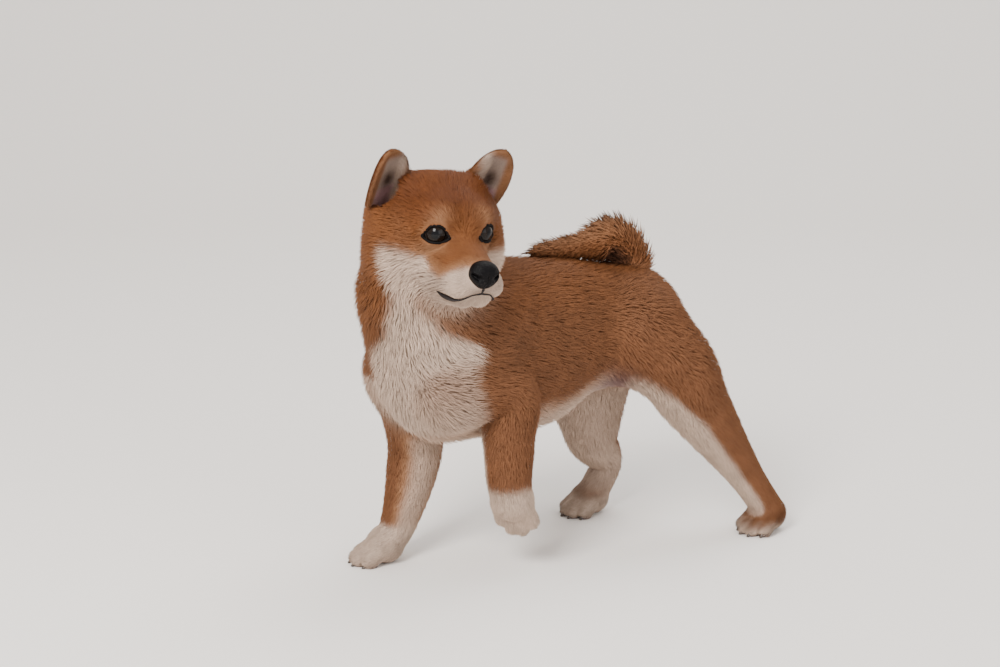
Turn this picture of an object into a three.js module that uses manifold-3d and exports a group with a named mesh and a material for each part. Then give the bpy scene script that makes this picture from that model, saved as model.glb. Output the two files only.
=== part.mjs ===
// Shiba inu puppy, about ten weeks old and life size, as a still model in a walking pose: three feet on the
// floor, the left foreleg lifted, the head turned to its left and the tail curled over the back.
// Millimetres. +X points forward along the trunk, +Y to the puppy's left and +Z up. The floor is at z = 0.
// The body is one smooth field. It is meshed, and thin flat cuts part it into the named nodes.
import * as THREE from "three";
import { mergeVertices } from "three/addons/utils/BufferGeometryUtils.js";
import Module from "manifold-3d";

const wasm = await Module();
wasm.setup();

// Driving sizes
const GAP = 0.3; // left between nodes that touch
const TRUNK_STEP = 13.8; // mesh spacing on each part
const LEG_STEP = 10;
const PAW_STEP = 6.6;
const HEAD_STEP = 7.1;
const NOSE_STEP = 3.2;
const ORIGIN = [-49.8, 15.9, 0]; // middle of the footprint, in the frame that the pose below is given in

// The trunk: each form is a centre and three half lengths, over the coat
const RIBS = { centre: [18, 0, 174.5], half: [88, 56, 72.5] };
const BRISKET = { centre: [60, 5, 166], half: [48, 48, 62] };
const LOIN = { centre: [-50, -1, 177.5], half: [78, 50, 61.5] };
const RUMP = { centre: [-116, 1, 177.5], half: [59, 46, 50] };
const UNDERSIDE = { centre: [-12, 0, 128], half: [58, 34, 27] };
const SHOULDER_TOP = [36, 0, 206];
const SHOULDER_POINT = [72, 0, 150];
const SHOULDER_OUT = { left: 38, right: -36 };
const SHOULDER_RADII = [34, 28];

// The neck: points up its middle and the radius at each
const NECK = {
  points: [
    [56, 0, 196],
    [80, 10, 226],
    [84, 22, 262],
  ],
  radii: [58, 52, 46],
};

// The head has a frame of its own: x to the nose, y to the left, z to the crown
const HEAD_AT = [77, 35, 280];
const HEAD_YAW = 84; // degrees that the head is turned to the left
const HEAD_PITCH = -5; // nose down
const HEAD_ROLL = -4; // left side down
const SKULL = { centre: [-17, 0, 6], half: [54, 52, 34.5] };
const CROWN = { from: [-8, 0, 28.5], to: [-8, 24, 28.5], radii: [11, 11] };
const CHEEK = { centre: [-8, 28, -18], half: [38, 26.5, 28] };
const BROW = { centre: [20, 12, 12], half: [18, 18, 13] };
const MUZZLE = { from: [18, 0, -13], to: [63, 0, -20.5], radii: [23, 15] };
const LIP = { from: [14, 8, -28], to: [61, 10.5, -28.5], radii: [17, 11.6] };
const JAW = { from: [8, 5, -37], to: [57, 6, -37], radii: [18, 8.5] };
const THROAT = { from: [0, 0, -44], to: [-20, 0, -50], radii: [24, 34] };
const EYE_HOLLOW = { centre: [40, 23.5, 4], half: [9, 10, 7] };

// Eyes, nose and mouth, in the head's frame
const EYE_RADIUS = 10;
const EYE_FRONT = [35.2, 22.7, 4.6]; // the foremost point of the eyeball
const EYE_OUTWARD = [0.86, 0.5, 0.06];
const EYE_WIDTH = 20.6;
const LID_UP = 9; // heights of the lids' two arcs over and under the line through the corners
const LID_DOWN = 3.9;
const LID_LINE = -2.6; // that line's height at the eyeball's middle
const LID_RADIUS = 2;
const LID_DEPTH = 7; // the lids' corners stay at least this far in front of the eyeball's middle
const NOSE_PAD = { centre: [73, 0, -16.5], half: [8.6, 11.7, 10.3] };
const NOSTRIL = { from: [85, 4.2, -17.6], to: [77, 11.4, -15.2], radii: [2.3, 1.2] };
const MOUTH = [
  [79, 0, -36.5],
  [76, 8, -35.2],
  [66, 14, -37.5],
  [55, 17, -40],
  [46, 19, -40.5],
  [39, 22.5, -39.5],
];
const MOUTH_RADIUS = 1.5;

// An ear is a leaf with a round tip, bowed across into a cup that opens to the front. It leans forward. Outer
// and inner are its half widths to the side and to the crown, waist draws it in below its base, and point and
// fullness are the powers of its outline.
const EAR = {
  base: [-15.5, 41, 22],
  tip: [6, 46, 57],
  outer: 16.5,
  inner: 20.5,
  thick: 6.4,
  bow: 0.016,
  back: 7,
  waist: 0.3,
  point: 2.6,
  fullness: 1.85,
  facing: [0.975, -0.22, 0],
};
const EAR_ROWS = [-0.25, 0.08, 0.28, 0.46, 0.62, 0.76, 0.87, 0.95]; // up the ear, as shares of its length
const EAR_AROUND = 14;

// Each leg: points down its middle with a radius at each, then the paw's place and the way its toes point
const LEGS = {
  foreleg_left: {
    points: [
      [72, 38, 156],
      [26, 48, 146],
      [26, 51, 112],
      [28, 54, 82],
      [25.5, 53.5, 64],
    ],
    radii: [27, 24, 21.3, 18.6, 17],
    paw: { at: [25, 53.5, 62], toes: [-0.06, 0, -1], top: [0.85, 0.5, 0], size: 1 },
    blend: 14,
  },
  foreleg_right: {
    points: [
      [72, -32, 156],
      [58, -37, 100],
      [64, -34, 66],
      [79, -30, 29],
      [90, -29, 17],
    ],
    radii: [28, 24, 20.8, 15, 14.5],
    paw: { at: [91, -29, 14.8], toes: [0.97, -0.24, -0.12], top: [0.1, 0, 1], size: 0.95 },
    blend: 14,
  },
  hindleg_left: {
    points: [
      [-118, 30, 172],
      [-142, 48, 143],
      [-157, 55, 115],
      [-199, 68, 52],
      [-219, 80, 17],
    ],
    radii: [42, 35, 29, 16, 13.5],
    paw: { at: [-219, 80, 14.8], toes: [0.98, 0.12, -0.12], top: [0.1, 0, 1], size: 0.95 },
    blend: 20,
  },
  hindleg_right: {
    points: [
      [-120, -30, 168],
      [-118, -41, 118],
      [-122, -43, 82],
      [-125, -43, 65],
      [-138, -42, 42],
      [-125, -42, 16],
    ],
    radii: [44, 37, 27, 22, 14.5, 13.5],
    paw: { at: [-124, -42, 14.6], toes: [0.99, 0.08, -0.1], top: [0.1, 0, 1], size: 0.95 },
    blend: 20,
  },
};
const TOES = [
  { side: -12, length: 19 },
  { side: -4.2, length: 25 },
  { side: 4.2, length: 25 },
  { side: 12, length: 19 },
];
const TOE_RADII = [8.2, 7.2];
const CLAW_LENGTH = 7;
const CLAW_RADIUS = 2.1;

// The tail: it rises from the rump, curls forward and lies on the back. The radii reach to the tips of its
// hair. A thin core carries rings of flat locks that lean towards the tail's tip.
const TAIL = {
  points: [
    [-122, 2, 204],
    [-129, 2, 227],
    [-112, 0, 247],
    [-90, -2, 248],
    [-67, -3, 247],
    [-38, -4, 245],
  ],
  radii: [16, 17, 18, 14, 8.5, 2.5],
};
const TAIL_CORE = 0.5; // the core's radius, as a share of the radius to the tips
const TAIL_SIDES = 7;
const LOCK_RINGS = 8;
const LOCKS_AROUND = 4;
const LOCK_LENGTH = 22;
const LOCK_FIRST = 14; // the first ring's place along the tail, and how far before its end the last one is
const LOCK_LAST = 16;
const LOCK_WIDTH = 0.5; // half the widest part of a lock, as a share of the radius to the tips
const LOCK_THICK = 2; // half its thickness there
const LOCK_SEED = 5;

// Where the cuts go: a point on each, the way it faces and the radius of its disc
const CUTS = {
  neck_base: { at: [62, 2, 205], facing: [0.6, 0.1, 0.79], radius: 92 },
  chest_back: { at: [-8, 0, 172], facing: [1, 0, 0], radius: 90 },
  loin_back: { at: [-72, 0, 180], facing: [1, 0, 0], radius: 80 },
  foreleg_left: { at: [26, 56, 124], facing: [0, 0.66, -0.75], radius: 40 },
  foreleg_right: { at: [60, -42, 112], facing: [0.12, -0.6, -0.79], radius: 40 },
  thigh_left: { at: [-132, 48, 148], facing: [-0.25, 0.62, -0.74], radius: 66 },
  thigh_right: { at: [-124, -40, 136], facing: [-0.3, -0.6, -0.74], radius: 62 },
  shank_left: { at: [-160, 56, 112], facing: [-0.5, 0.16, -0.85], radius: 38 },
  shank_right: { at: [-122, -43, 84], facing: [0.1, 0, 1], radius: 40 },
  forepaw_left: { at: [28, 54, 80], facing: [0.05, 0, 1], radius: 28 },
  forepaw_right: { at: [77, -31, 33], facing: [-0.36, -0.1, 0.93], radius: 24 },
  hindpaw_left: { at: [-199, 68, 52], facing: [0.5, -0.2, 0.84], radius: 24 },
  hindpaw_right: { at: [-136, -42, 42], facing: [-0.1, 0, 1], radius: 26 },
};

const NECK_TOP = { at: [-12, 0, -46], facing: [0.55, -0.24, 0.8], radius: 84 }; // in the head's frame

const COLOURS = {
  red: 0xb4713f,
  cream: 0xe6d6c2,
  black: 0x17130f,
  eye: 0x1c120c,
};

// Vectors are plain arrays of three numbers
const plus = (a, b) => [a[0] + b[0], a[1] + b[1], a[2] + b[2]];
const minus = (a, b) => [a[0] - b[0], a[1] - b[1], a[2] - b[2]];
const times = (a, k) => [a[0] * k, a[1] * k, a[2] * k];
const dot = (a, b) => a[0] * b[0] + a[1] * b[1] + a[2] * b[2];
const cross = (a, b) => [a[1] * b[2] - a[2] * b[1], a[2] * b[0] - a[0] * b[2], a[0] * b[1] - a[1] * b[0]];
const unit = (a) => times(a, 1 / Math.hypot(...a));
const mirrored = (a) => [a[0], -a[1], a[2]];
const clamp = (t, low, high) => Math.min(Math.max(t, low), high);

// Fields: each gives the distance from a point to a form's surface, negative inside it

function ellipsoid(p, form, axes) {
  const q = minus(p, form.centre);
  const local = axes ? axes.map((axis) => dot(q, axis)) : q;
  const near = Math.hypot(...local.map((v, k) => v / form.half[k])) + 1e-6;
  const slope = Math.hypot(...local.map((v, k) => v / form.half[k] ** 2)) + 1e-9;
  return (near * (near - 1)) / slope;
}

// A rod with round ends that tapers from one radius to the other
function limb(p, from, to, fromRadius, toRadius) {
  const along = minus(to, from);
  const q = minus(p, from);
  const t = clamp(dot(q, along) / dot(along, along), 0, 1);
  const away = Math.hypot(q[0] - along[0] * t, q[1] - along[1] * t, q[2] - along[2] * t);
  return away - fromRadius - (toRadius - fromRadius) * t;
}

// Two forms run together, with a fillet about k wide
function join(a, b, k) {
  const h = clamp(0.5 + (0.5 * (b - a)) / k, 0, 1);
  return b + (a - b) * h - k * h * (1 - h);
}

// The first form with the second smoothly taken out
function hollow(a, b, k) {
  return -join(-a, b, k);
}

// A rounded course through a few points (Catmull-Rom), as many short lengths with their radii
function course({ points, radii }, parts = 5) {
  const knots = points.map((point, i) => [...point, radii[i]]);
  const last = knots.length - 1;
  const mix = (a, b) => a.map((v, k) => 2 * v - b[k]);
  const all = [mix(knots[0], knots[1]), ...knots, mix(knots[last], knots[last - 1])];
  const out = [];
  for (let i = 1; i <= last; i += 1) {
    const [a, b, c, d] = all.slice(i - 1, i + 3);
    for (let s = 0; s < parts; s += 1) {
      const t = s / parts;
      out.push(
        b.map((_, k) => {
          const square = 2 * a[k] - 5 * b[k] + 4 * c[k] - d[k];
          const cube = 3 * b[k] - a[k] - 3 * c[k] + d[k];
          return 0.5 * (2 * b[k] + (c[k] - a[k]) * t + square * t ** 2 + cube * t ** 3);
        }),
      );
    }
  }
  out.push(knots[last]);
  return out;
}

function tube(p, lengths) {
  let near = Infinity;
  for (let i = 1; i < lengths.length; i += 1) {
    const a = lengths[i - 1];
    const b = lengths[i];
    near = Math.min(near, limb(p, a, b, a[3], b[3]));
  }
  return near;
}

// The head's frame
const headTurn = (() => {
  const [yaw, pitch, roll] = [HEAD_YAW, HEAD_PITCH, HEAD_ROLL].map((angle) => (angle * Math.PI) / 180);
  const turn = new THREE.Matrix4().makeRotationZ(yaw);
  turn.multiply(new THREE.Matrix4().makeRotationY(-pitch));
  turn.multiply(new THREE.Matrix4().makeRotationX(roll));
  return turn;
})();
const headDirection = (v) => new THREE.Vector3(...v).transformDirection(headTurn).toArray();
const headAxes = [headDirection([1, 0, 0]), headDirection([0, 1, 0]), headDirection([0, 0, 1])];
const fromHead = (v) => plus(HEAD_AT, new THREE.Vector3(...v).applyMatrix4(headTurn).toArray());
const toHead = (p) => headAxes.map((axis) => dot(minus(p, HEAD_AT), axis));

// Forms in the head's frame, for a point with y taken as positive
const rod = (m, { from, to, radii }) => limb(m, from, to, radii[0], radii[1]);

function skullField(m) {
  let f = ellipsoid(m, SKULL);
  f = join(f, ellipsoid(m, CHEEK), 16);
  f = join(f, ellipsoid(m, BROW), 12);
  f = join(f, rod(m, CROWN), 14);
  f = join(f, rod(m, MUZZLE), 14);
  f = join(f, rod(m, LIP), 10);
  f = join(f, rod(m, JAW), 8);
  f = join(f, rod(m, THROAT), 16);
  return hollow(f, ellipsoid(m, EYE_HOLLOW), 8);
}

const earLength = Math.hypot(...minus(EAR.tip, EAR.base));
const earUp = unit(minus(EAR.tip, EAR.base));
const earFace = unit(minus(EAR.facing, times(earUp, dot(EAR.facing, earUp))));
const earSide = cross(earUp, earFace);

// A point of the ear: up it and across it as shares of its length and half width, and out of its middle sheet
function inEar(up, across, out) {
  const half = (across > 0 ? EAR.outer : EAR.inner) * (1 + EAR.waist * Math.min(up, 0));
  const side = across * half * Math.max(1 - Math.max(up, 0) ** EAR.point, 0) ** (1 / EAR.fullness);
  const along = plus(times(earUp, up * earLength), times(earSide, side));
  return plus(EAR.base, plus(along, times(earFace, EAR.bow * side ** 2 - EAR.back + out)));
}

function headField(p) {
  const m = toHead(p);
  m[1] = Math.abs(m[1]);
  return skullField(m);
}

// A paw: its middle and four toes that fan out and bend down
function pawFrame({ at, toes, top }) {
  const ahead = unit(toes);
  const up = unit(minus(top, times(ahead, dot(top, ahead))));
  return { at, ahead, up, side: cross(up, ahead) };
}

function inPaw(frame, size, ahead, side, up) {
  const level = plus(times(frame.ahead, ahead * size), times(frame.side, side * size));
  return plus(frame.at, plus(level, times(frame.up, up * size)));
}

const PAW_HALF = [15, 16, 13.6];

function pawForms(paw) {
  const frame = pawFrame(paw);
  const place = (ahead, side, up) => inPaw(frame, paw.size, ahead, side, up);
  const middle = { centre: place(2, 0, -2), half: times(PAW_HALF, paw.size) };
  const axes = [frame.ahead, frame.side, frame.up];
  const toes = TOES.map(({ side, length }) => ({
    from: place(6, side * 0.8, -1),
    to: place(length, side * 1.02, -7.5),
    radii: times(TOE_RADII.concat(0), paw.size),
  }));
  return { middle, axes, toes };
}

function pawField(p, forms) {
  return forms.toes.reduce((f, toe) => join(f, rod(p, toe), 3.2), ellipsoid(p, forms.middle, forms.axes));
}

const legForms = Object.values(LEGS).map((leg) => ({
  lengths: course(leg),
  paw: pawForms(leg.paw),
  blend: leg.blend,
}));
const neckLengths = course(NECK);
const tailLengths = course(TAIL, 2);

function trunkField(p) {
  let f = ellipsoid(p, RIBS);
  f = join(f, ellipsoid(p, BRISKET), 20);
  f = join(f, ellipsoid(p, LOIN), 24);
  f = join(f, ellipsoid(p, RUMP), 24);
  f = join(f, ellipsoid(p, UNDERSIDE), 20);
  for (const out of Object.values(SHOULDER_OUT)) {
    const top = plus(SHOULDER_TOP, [0, out * 0.6, 0]);
    const point = plus(SHOULDER_POINT, [0, out, 0]);
    f = join(f, limb(p, top, point, ...SHOULDER_RADII), 20);
  }
  return f;
}

function bodyField(p) {
  let f = join(trunkField(p), tube(p, neckLengths), 26);
  f = join(f, headField(p), 12);
  for (const leg of legForms) {
    f = join(f, join(tube(p, leg.lengths), pawField(p, leg.paw), 6), leg.blend);
  }
  return f;
}

// Surface nets: one point in a grid cell for each sheet of the surface that crosses it, and one quad over each
// grid edge that the surface crosses. A cell's corners are numbered by their bits: 4 for x, 2 for y, 1 for z.
const CORNER_NUMBERS = [0, 1, 2, 3, 4, 5, 6, 7];
const CORNERS = CORNER_NUMBERS.map((c) => [c >> 2, (c >> 1) & 1, c & 1]);
const CELL_EDGES = [4, 2, 1].flatMap((bit) =>
  CORNER_NUMBERS.filter((c) => !(c & bit)).map((c) => [c, c | bit]),
);
const edgeNumber = (from, to) => CELL_EDGES.findIndex(([a, b]) => a === from && b === to);
const CELL_FACES = [4, 2, 1].flatMap((bit) =>
  [0, bit].map((side) => {
    const onFace = (c) => (c & bit) === side;
    return CELL_EDGES.map((_, e) => e).filter((e) => CELL_EDGES[e].every(onFace));
  }),
);

// For each crossed edge of a cell, the number of the sheet that crosses it
function sheetsOf(inside) {
  const sheet = CELL_EDGES.map(([a, b], e) => (inside[a] !== inside[b] ? e : -1));
  const merge = (e, f) => {
    const [keep, drop] = [sheet[e], sheet[f]];
    sheet.forEach((v, n) => {
      if (v === drop) sheet[n] = keep;
    });
  };
  for (const face of CELL_FACES) {
    const crossed = face.filter((e) => sheet[e] >= 0);
    if (crossed.length === 2) merge(...crossed);
    if (crossed.length < 4) continue;
    for (const e of crossed) {
      const corner = CELL_EDGES[e].find((c) => inside[c]);
      merge(e, crossed.find((f) => f !== e && CELL_EDGES[f].includes(corner)));
    }
  }
  return sheet;
}

function net(field, low, high, step) {
  const count = low.map((v, k) => Math.ceil((high[k] - v) / step) + 1);
  const node = (i, j, k) => (i * count[1] + j) * count[2] + k;
  const place = (ijk) => ijk.map((v, k) => low[k] + v * step);
  const value = new Float32Array(count[0] * count[1] * count[2]);
  const far = low.map((v, k) => v + (count[k] - 1) * step);
  const wallAt = (p) => Math.max(...p.map((v, k) => Math.max(low[k] - v, v - far[k])));
  for (let i = 0; i < count[0]; i += 1) {
    for (let j = 0; j < count[1]; j += 1) {
      for (let k = 0; k < count[2]; k += 1) {
        const p = place([i, j, k]);
        value[node(i, j, k)] = Math.max(field(p), wallAt(p) + step * 0.6);
      }
    }
  }
  const points = [];
  const pointOf = new Map();
  for (let i = 0; i + 1 < count[0]; i += 1) {
    for (let j = 0; j + 1 < count[1]; j += 1) {
      for (let k = 0; k + 1 < count[2]; k += 1) {
        const at = CORNERS.map((c) => value[node(i + c[0], j + c[1], k + c[2])]);
        const inside = at.map((v) => v < 0);
        if (inside.every((v) => v === inside[0])) continue;
        const sheet = sheetsOf(inside);
        for (const name of new Set(sheet.filter((v) => v >= 0))) {
          const crossed = CELL_EDGES.map((_, e) => e).filter((e) => sheet[e] === name);
          let sum = [0, 0, 0];
          for (const e of crossed) {
            const [a, b] = CELL_EDGES[e];
            const t = at[a] / (at[a] - at[b]);
            sum = plus(sum, plus(CORNERS[a], times(minus(CORNERS[b], CORNERS[a]), t)));
            pointOf.set(node(i, j, k) * 12 + e, points.length);
          }
          points.push(place(plus([i, j, k], times(sum, 1 / crossed.length))));
        }
      }
    }
  }
  const quads = [];
  const axes = [
    { bit: 4, step: [1, 0, 0], ring: [[0, 1, 1], [0, 0, 1], [0, 0, 0], [0, 1, 0]] },
    { bit: 2, step: [0, 1, 0], ring: [[1, 0, 1], [1, 0, 0], [0, 0, 0], [0, 0, 1]] },
    { bit: 1, step: [0, 0, 1], ring: [[1, 1, 0], [0, 1, 0], [0, 0, 0], [1, 0, 0]] },
  ];
  for (let i = 0; i + 1 < count[0]; i += 1) {
    for (let j = 0; j + 1 < count[1]; j += 1) {
      for (let k = 0; k + 1 < count[2]; k += 1) {
        const here = value[node(i, j, k)] < 0;
        for (const axis of axes) {
          if (here === value[node(i + axis.step[0], j + axis.step[1], k + axis.step[2])] < 0) continue;
          const quad = axis.ring.map(([di, dj, dk]) => {
            const corner = di * 4 + dj * 2 + dk;
            return pointOf.get(node(i - di, j - dj, k - dk) * 12 + edgeNumber(corner, corner | axis.bit));
          });
          quads.push(here ? quad : quad.reverse());
        }
      }
    }
  }
  return { points, quads };
}

// Moves a point along the field's slope onto its surface
function snapped(field, p) {
  const e = 0.5;
  let at = p;
  for (let round = 0; round < 2; round += 1) {
    const slope = [0, 1, 2].map((k) => {
      const d = [0, 0, 0];
      d[k] = e;
      return (field(plus(at, d)) - field(minus(at, d))) / (2 * e);
    });
    at = minus(at, times(slope, field(at) / Math.max(dot(slope, slope), 0.3)));
  }
  return at;
}

function netGeometry(field, low, high, step) {
  const { points, quads } = net(field, low, high, step);
  const inner = (p) => p.every((v, k) => v > low[k] + step && v < high[k] - step);
  const placed = points.map((p) => (inner(p) ? snapped(field, p) : p));
  const apart = (a, b) => Math.hypot(...minus(placed[a], placed[b]));
  const halves = ([a, b, c, d]) => (apart(a, c) < apart(b, d) ? [a, b, c, a, c, d] : [b, c, d, b, d, a]);
  const geometry = new THREE.BufferGeometry();
  geometry.setAttribute("position", new THREE.Float32BufferAttribute(placed.flat(), 3));
  geometry.setIndex(quads.flatMap(halves));
  return geometry;
}

// Solids for joining and cutting

function solidOf(geometry) {
  const bare = geometry.clone();
  bare.deleteAttribute("normal");
  bare.deleteAttribute("uv");
  const merged = mergeVertices(bare, 1e-4);
  return new wasm.Manifold(
    new wasm.Mesh({
      numProp: 3,
      vertProperties: new Float32Array(merged.attributes.position.array),
      triVerts: new Uint32Array(merged.index.array),
    }),
  );
}

function geometryOf(solid) {
  const mesh = solid.getMesh();
  const geometry = new THREE.BufferGeometry();
  geometry.setAttribute("position", new THREE.Float32BufferAttribute(mesh.vertProperties, 3));
  geometry.setIndex(Array.from(mesh.triVerts));
  geometry.computeVertexNormals();
  return geometry;
}

const largest = (solid) => solid.decompose().reduce((a, b) => (a.volume() > b.volume() ? a : b));

// The largest closed surface, also once points that nearly coincide are merged
const settled = (solid) => largest(solidOf(geometryOf(largest(solid))));

// A field meshed inside a box. A grid that meets the form badly, so that the net isn't one closed surface, is
// moved a little.
function meshed(field, low, high, step) {
  for (const shift of [0, 0.21, 0.43, 0.67]) {
    const moved = low.map((v) => v - shift * step);
    try {
      return solidOf(netGeometry(field, moved, high, step));
    } catch (error) {
      if (error.code !== "NotManifold") throw error;
    }
  }
  throw new Error("no grid gives a closed surface here");
}

// The smallest piece whose box holds the point
function pieceAt(pieces, point) {
  const holds = (piece) => {
    const { min, max } = piece.boundingBox();
    return point.every((v, k) => v > min[k] && v < max[k]);
  };
  return pieces.filter(holds).reduce((a, b) => (a.volume() < b.volume() ? a : b));
}

function disc({ at, facing, radius }) {
  const geometry = new THREE.CylinderGeometry(radius, radius, GAP, 32);
  const axis = new THREE.Vector3(...unit(facing));
  geometry.applyQuaternion(new THREE.Quaternion().setFromUnitVectors(new THREE.Vector3(0, 1, 0), axis));
  geometry.translate(...at);
  return solidOf(geometry);
}

function ball(centre, radius) {
  const geometry = new THREE.SphereGeometry(radius, 16, 10);
  geometry.translate(...centre);
  return solidOf(geometry);
}

// A closed surface over rings of points, with a middle point at each end
function lofted(rings, first, last) {
  const sides = rings[0].length;
  const position = [...rings.flat(), first, last];
  const end = rings.length * sides;
  const index = [];
  for (let s = 0; s < sides; s += 1) {
    const n = (s + 1) % sides;
    index.push(end, n, s);
    index.push(end + 1, end - sides + s, end - sides + n);
    for (let r = 0; r + 1 < rings.length; r += 1) {
      const [a, b, c, d] = [r * sides + s, r * sides + n, (r + 1) * sides + n, (r + 1) * sides + s];
      index.push(a, b, c, a, c, d);
    }
  }
  const geometry = new THREE.BufferGeometry();
  geometry.setAttribute("position", new THREE.Float32BufferAttribute(position.flat(), 3));
  geometry.setIndex(index);
  return solidOf(geometry);
}

// A bent round rod through the points, with a radius at each
function bentRod(points, radii, sides = 8) {
  const rings = points.map((p, i) => {
    const along = unit(minus(points[Math.min(i + 1, points.length - 1)], points[Math.max(i - 1, 0)]));
    const across = unit(cross(along, Math.abs(along[2]) < 0.9 ? [0, 0, 1] : [1, 0, 0]));
    const other = cross(along, across);
    return Array.from({ length: sides }, (_, s) => {
      const angle = (2 * Math.PI * s) / sides;
      const out = plus(times(across, Math.cos(angle)), times(other, Math.sin(angle)));
      return plus(p, times(out, radii[i]));
    });
  });
  return lofted(rings, points[0], points.at(-1));
}

const floor = solidOf(new THREE.BoxGeometry(900, 900, 60).translate(0, 0, -30));

// The cuts
const cutDiscs = Object.fromEntries(Object.entries(CUTS).map(([name, cut]) => [name, disc(cut)]));
const neckTop = disc({ ...NECK_TOP, at: fromHead(NECK_TOP.at), facing: headDirection(NECK_TOP.facing) });

// The body's field meshed inside a box, stood on the floor and cut; the piece at each named point is kept
function parted(field, low, high, step, cuts, insides) {
  const whole = meshed(field, low, high, step).subtract(floor);
  const pieces = cuts.reduce((solid, cut) => solid.subtract(cut), whole).decompose();
  return Object.fromEntries(Object.entries(insides).map(([name, point]) => [name, pieceAt(pieces, point)]));
}

const allCuts = [...Object.values(cutDiscs), neckTop];
const trunkSolids = parted(bodyField, [-190, -100, 40], [156, 140, 300], TRUNK_STEP, allCuts, {
  neck: [80, 8, 225],
  chest: [40, 0, 130],
  belly: [-40, 0, 180],
  rump: [-110, 0, 190],
  thigh_left: [-148, 52, 130],
  thigh_right: [-122, -43, 105],
});

const legBoxes = {
  foreleg_left: [[-14, 18, 50], [66, 92, 160], [26, 51, 100]],
  foreleg_right: [[14, -80, 12], [112, 4, 150], [64, -34, 66]],
  shank_left: [[-228, 16, 24], [-118, 104, 146], [-180, 62, 80]],
  shank_right: [[-170, -88, 24], [-74, 2, 110], [-128, -43, 62]],
};
const legSolids = Object.assign(
  {},
  ...Object.entries(legBoxes).map(([name, [low, high, inside]]) =>
    parted(bodyField, low, high, LEG_STEP, allCuts, { [name]: inside }),
  ),
);

// Paws, with a short claw on each toe
function pawSolid({ paw }) {
  const reach = [44, 44, 44];
  const box = [minus(paw.at, reach), plus(paw.at, reach)];
  const { pawOnly } = parted(bodyField, ...box, PAW_STEP, allCuts, { pawOnly: paw.at });
  const claws = pawForms(paw).toes.map((toe) => {
    const ahead = unit(minus(toe.to, toe.from));
    const down = times(pawFrame(paw).up, -1);
    const reachOut = toe.radii[1];
    const root = plus(toe.to, times(ahead, reachOut - 2.5));
    const middle = plus(root, plus(times(ahead, CLAW_LENGTH * 0.45), times(down, 0.5)));
    const tip = plus(root, plus(times(ahead, CLAW_LENGTH * 0.8), times(down, 2.6)));
    return bentRod([root, middle, tip], [CLAW_RADIUS, CLAW_RADIUS * 0.8, CLAW_RADIUS * 0.3], 5);
  });
  return largest(claws.reduce((solid, claw) => solid.add(claw), pawOnly).subtract(floor));
}

// Head
const eyeSides = { left: (v) => v, right: mirrored };
const eyeOutward = unit(EYE_OUTWARD);
const eyeCentre = minus(EYE_FRONT, times(eyeOutward, EYE_RADIUS));

const nosePadField = (grow) => (p) => {
  const m = toHead(p);
  return ellipsoid(m, NOSE_PAD) - grow;
};

function noseSolid(grow) {
  const at = fromHead(NOSE_PAD.centre);
  const reach = [18, 18, 18];
  return meshed(nosePadField(grow), minus(at, reach), plus(at, reach), NOSE_STEP);
}

const rodOf = (points, radii, sides) => bentRod(points.map(fromHead), radii, sides);

// The rim of the lids: an almond around the eye, lying on the eyeball
function lidRim(side) {
  const across = unit(cross([0, 0, 1], eyeOutward));
  const upward = cross(eyeOutward, across);
  const steps = 10;
  const arc = (sign) =>
    Array.from({ length: steps + 1 }, (_, i) => {
      const s = (2 * i) / steps - 1;
      const wide = (EYE_WIDTH / 2) * s;
      const high = LID_LINE + (sign > 0 ? LID_UP : -LID_DOWN) * (1 - Math.abs(s) ** 2.2);
      const depth = Math.sqrt(Math.max((EYE_RADIUS + 0.6) ** 2 - wide ** 2 - high ** 2, LID_DEPTH ** 2));
      const place = plus(plus(times(across, wide), times(upward, high)), times(eyeOutward, depth));
      return side(plus(eyeCentre, place));
    });
  return [arc(1), arc(-1)].map((points) => rodOf(points, points.map(() => LID_RADIUS), 5));
}

const mouthLine = MOUTH.map((m) => snapped(skullField, m));
const headBox = [plus(HEAD_AT, [-74, -74, -86]), plus(HEAD_AT, [74, 96, 66])];
let headSolid = parted(bodyField, headBox[0], headBox[1], HEAD_STEP, [neckTop], { head: HEAD_AT }).head;
for (const side of Object.values(eyeSides)) {
  headSolid = lidRim(side).reduce((solid, rim) => solid.add(rim), headSolid);
  headSolid = headSolid.subtract(ball(fromHead(side(eyeCentre)), EYE_RADIUS + GAP));
  headSolid = headSolid.subtract(rodOf(mouthLine.map(side), MOUTH.map(() => MOUTH_RADIUS), 5));
}
headSolid = largest(headSolid.subtract(noseSolid(GAP)));

const nostrils = Object.values(eyeSides).map((side) => {
  const middle = times(plus(NOSTRIL.from, NOSTRIL.to), 0.5);
  const [wide, narrow] = NOSTRIL.radii;
  return rodOf([NOSTRIL.from, middle, NOSTRIL.to].map(side), [wide, wide, narrow], 8);
});
const nose = largest(nostrils.reduce((solid, nostril) => solid.subtract(nostril), noseSolid(0)));

// A solid made larger about a point, so that what lies a given way from the point moves out by the gap
function swollen(solid, centre, distance) {
  const size = 1 + GAP / distance;
  const geometry = geometryOf(solid);
  geometry.translate(...times(centre, -1)).scale(size, size, size).translate(...centre);
  return solidOf(geometry);
}

// An ear: rings up its leaf, cut off where it meets the skull
const headSeat = swollen(headSolid, HEAD_AT, SKULL.half[1]);

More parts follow.
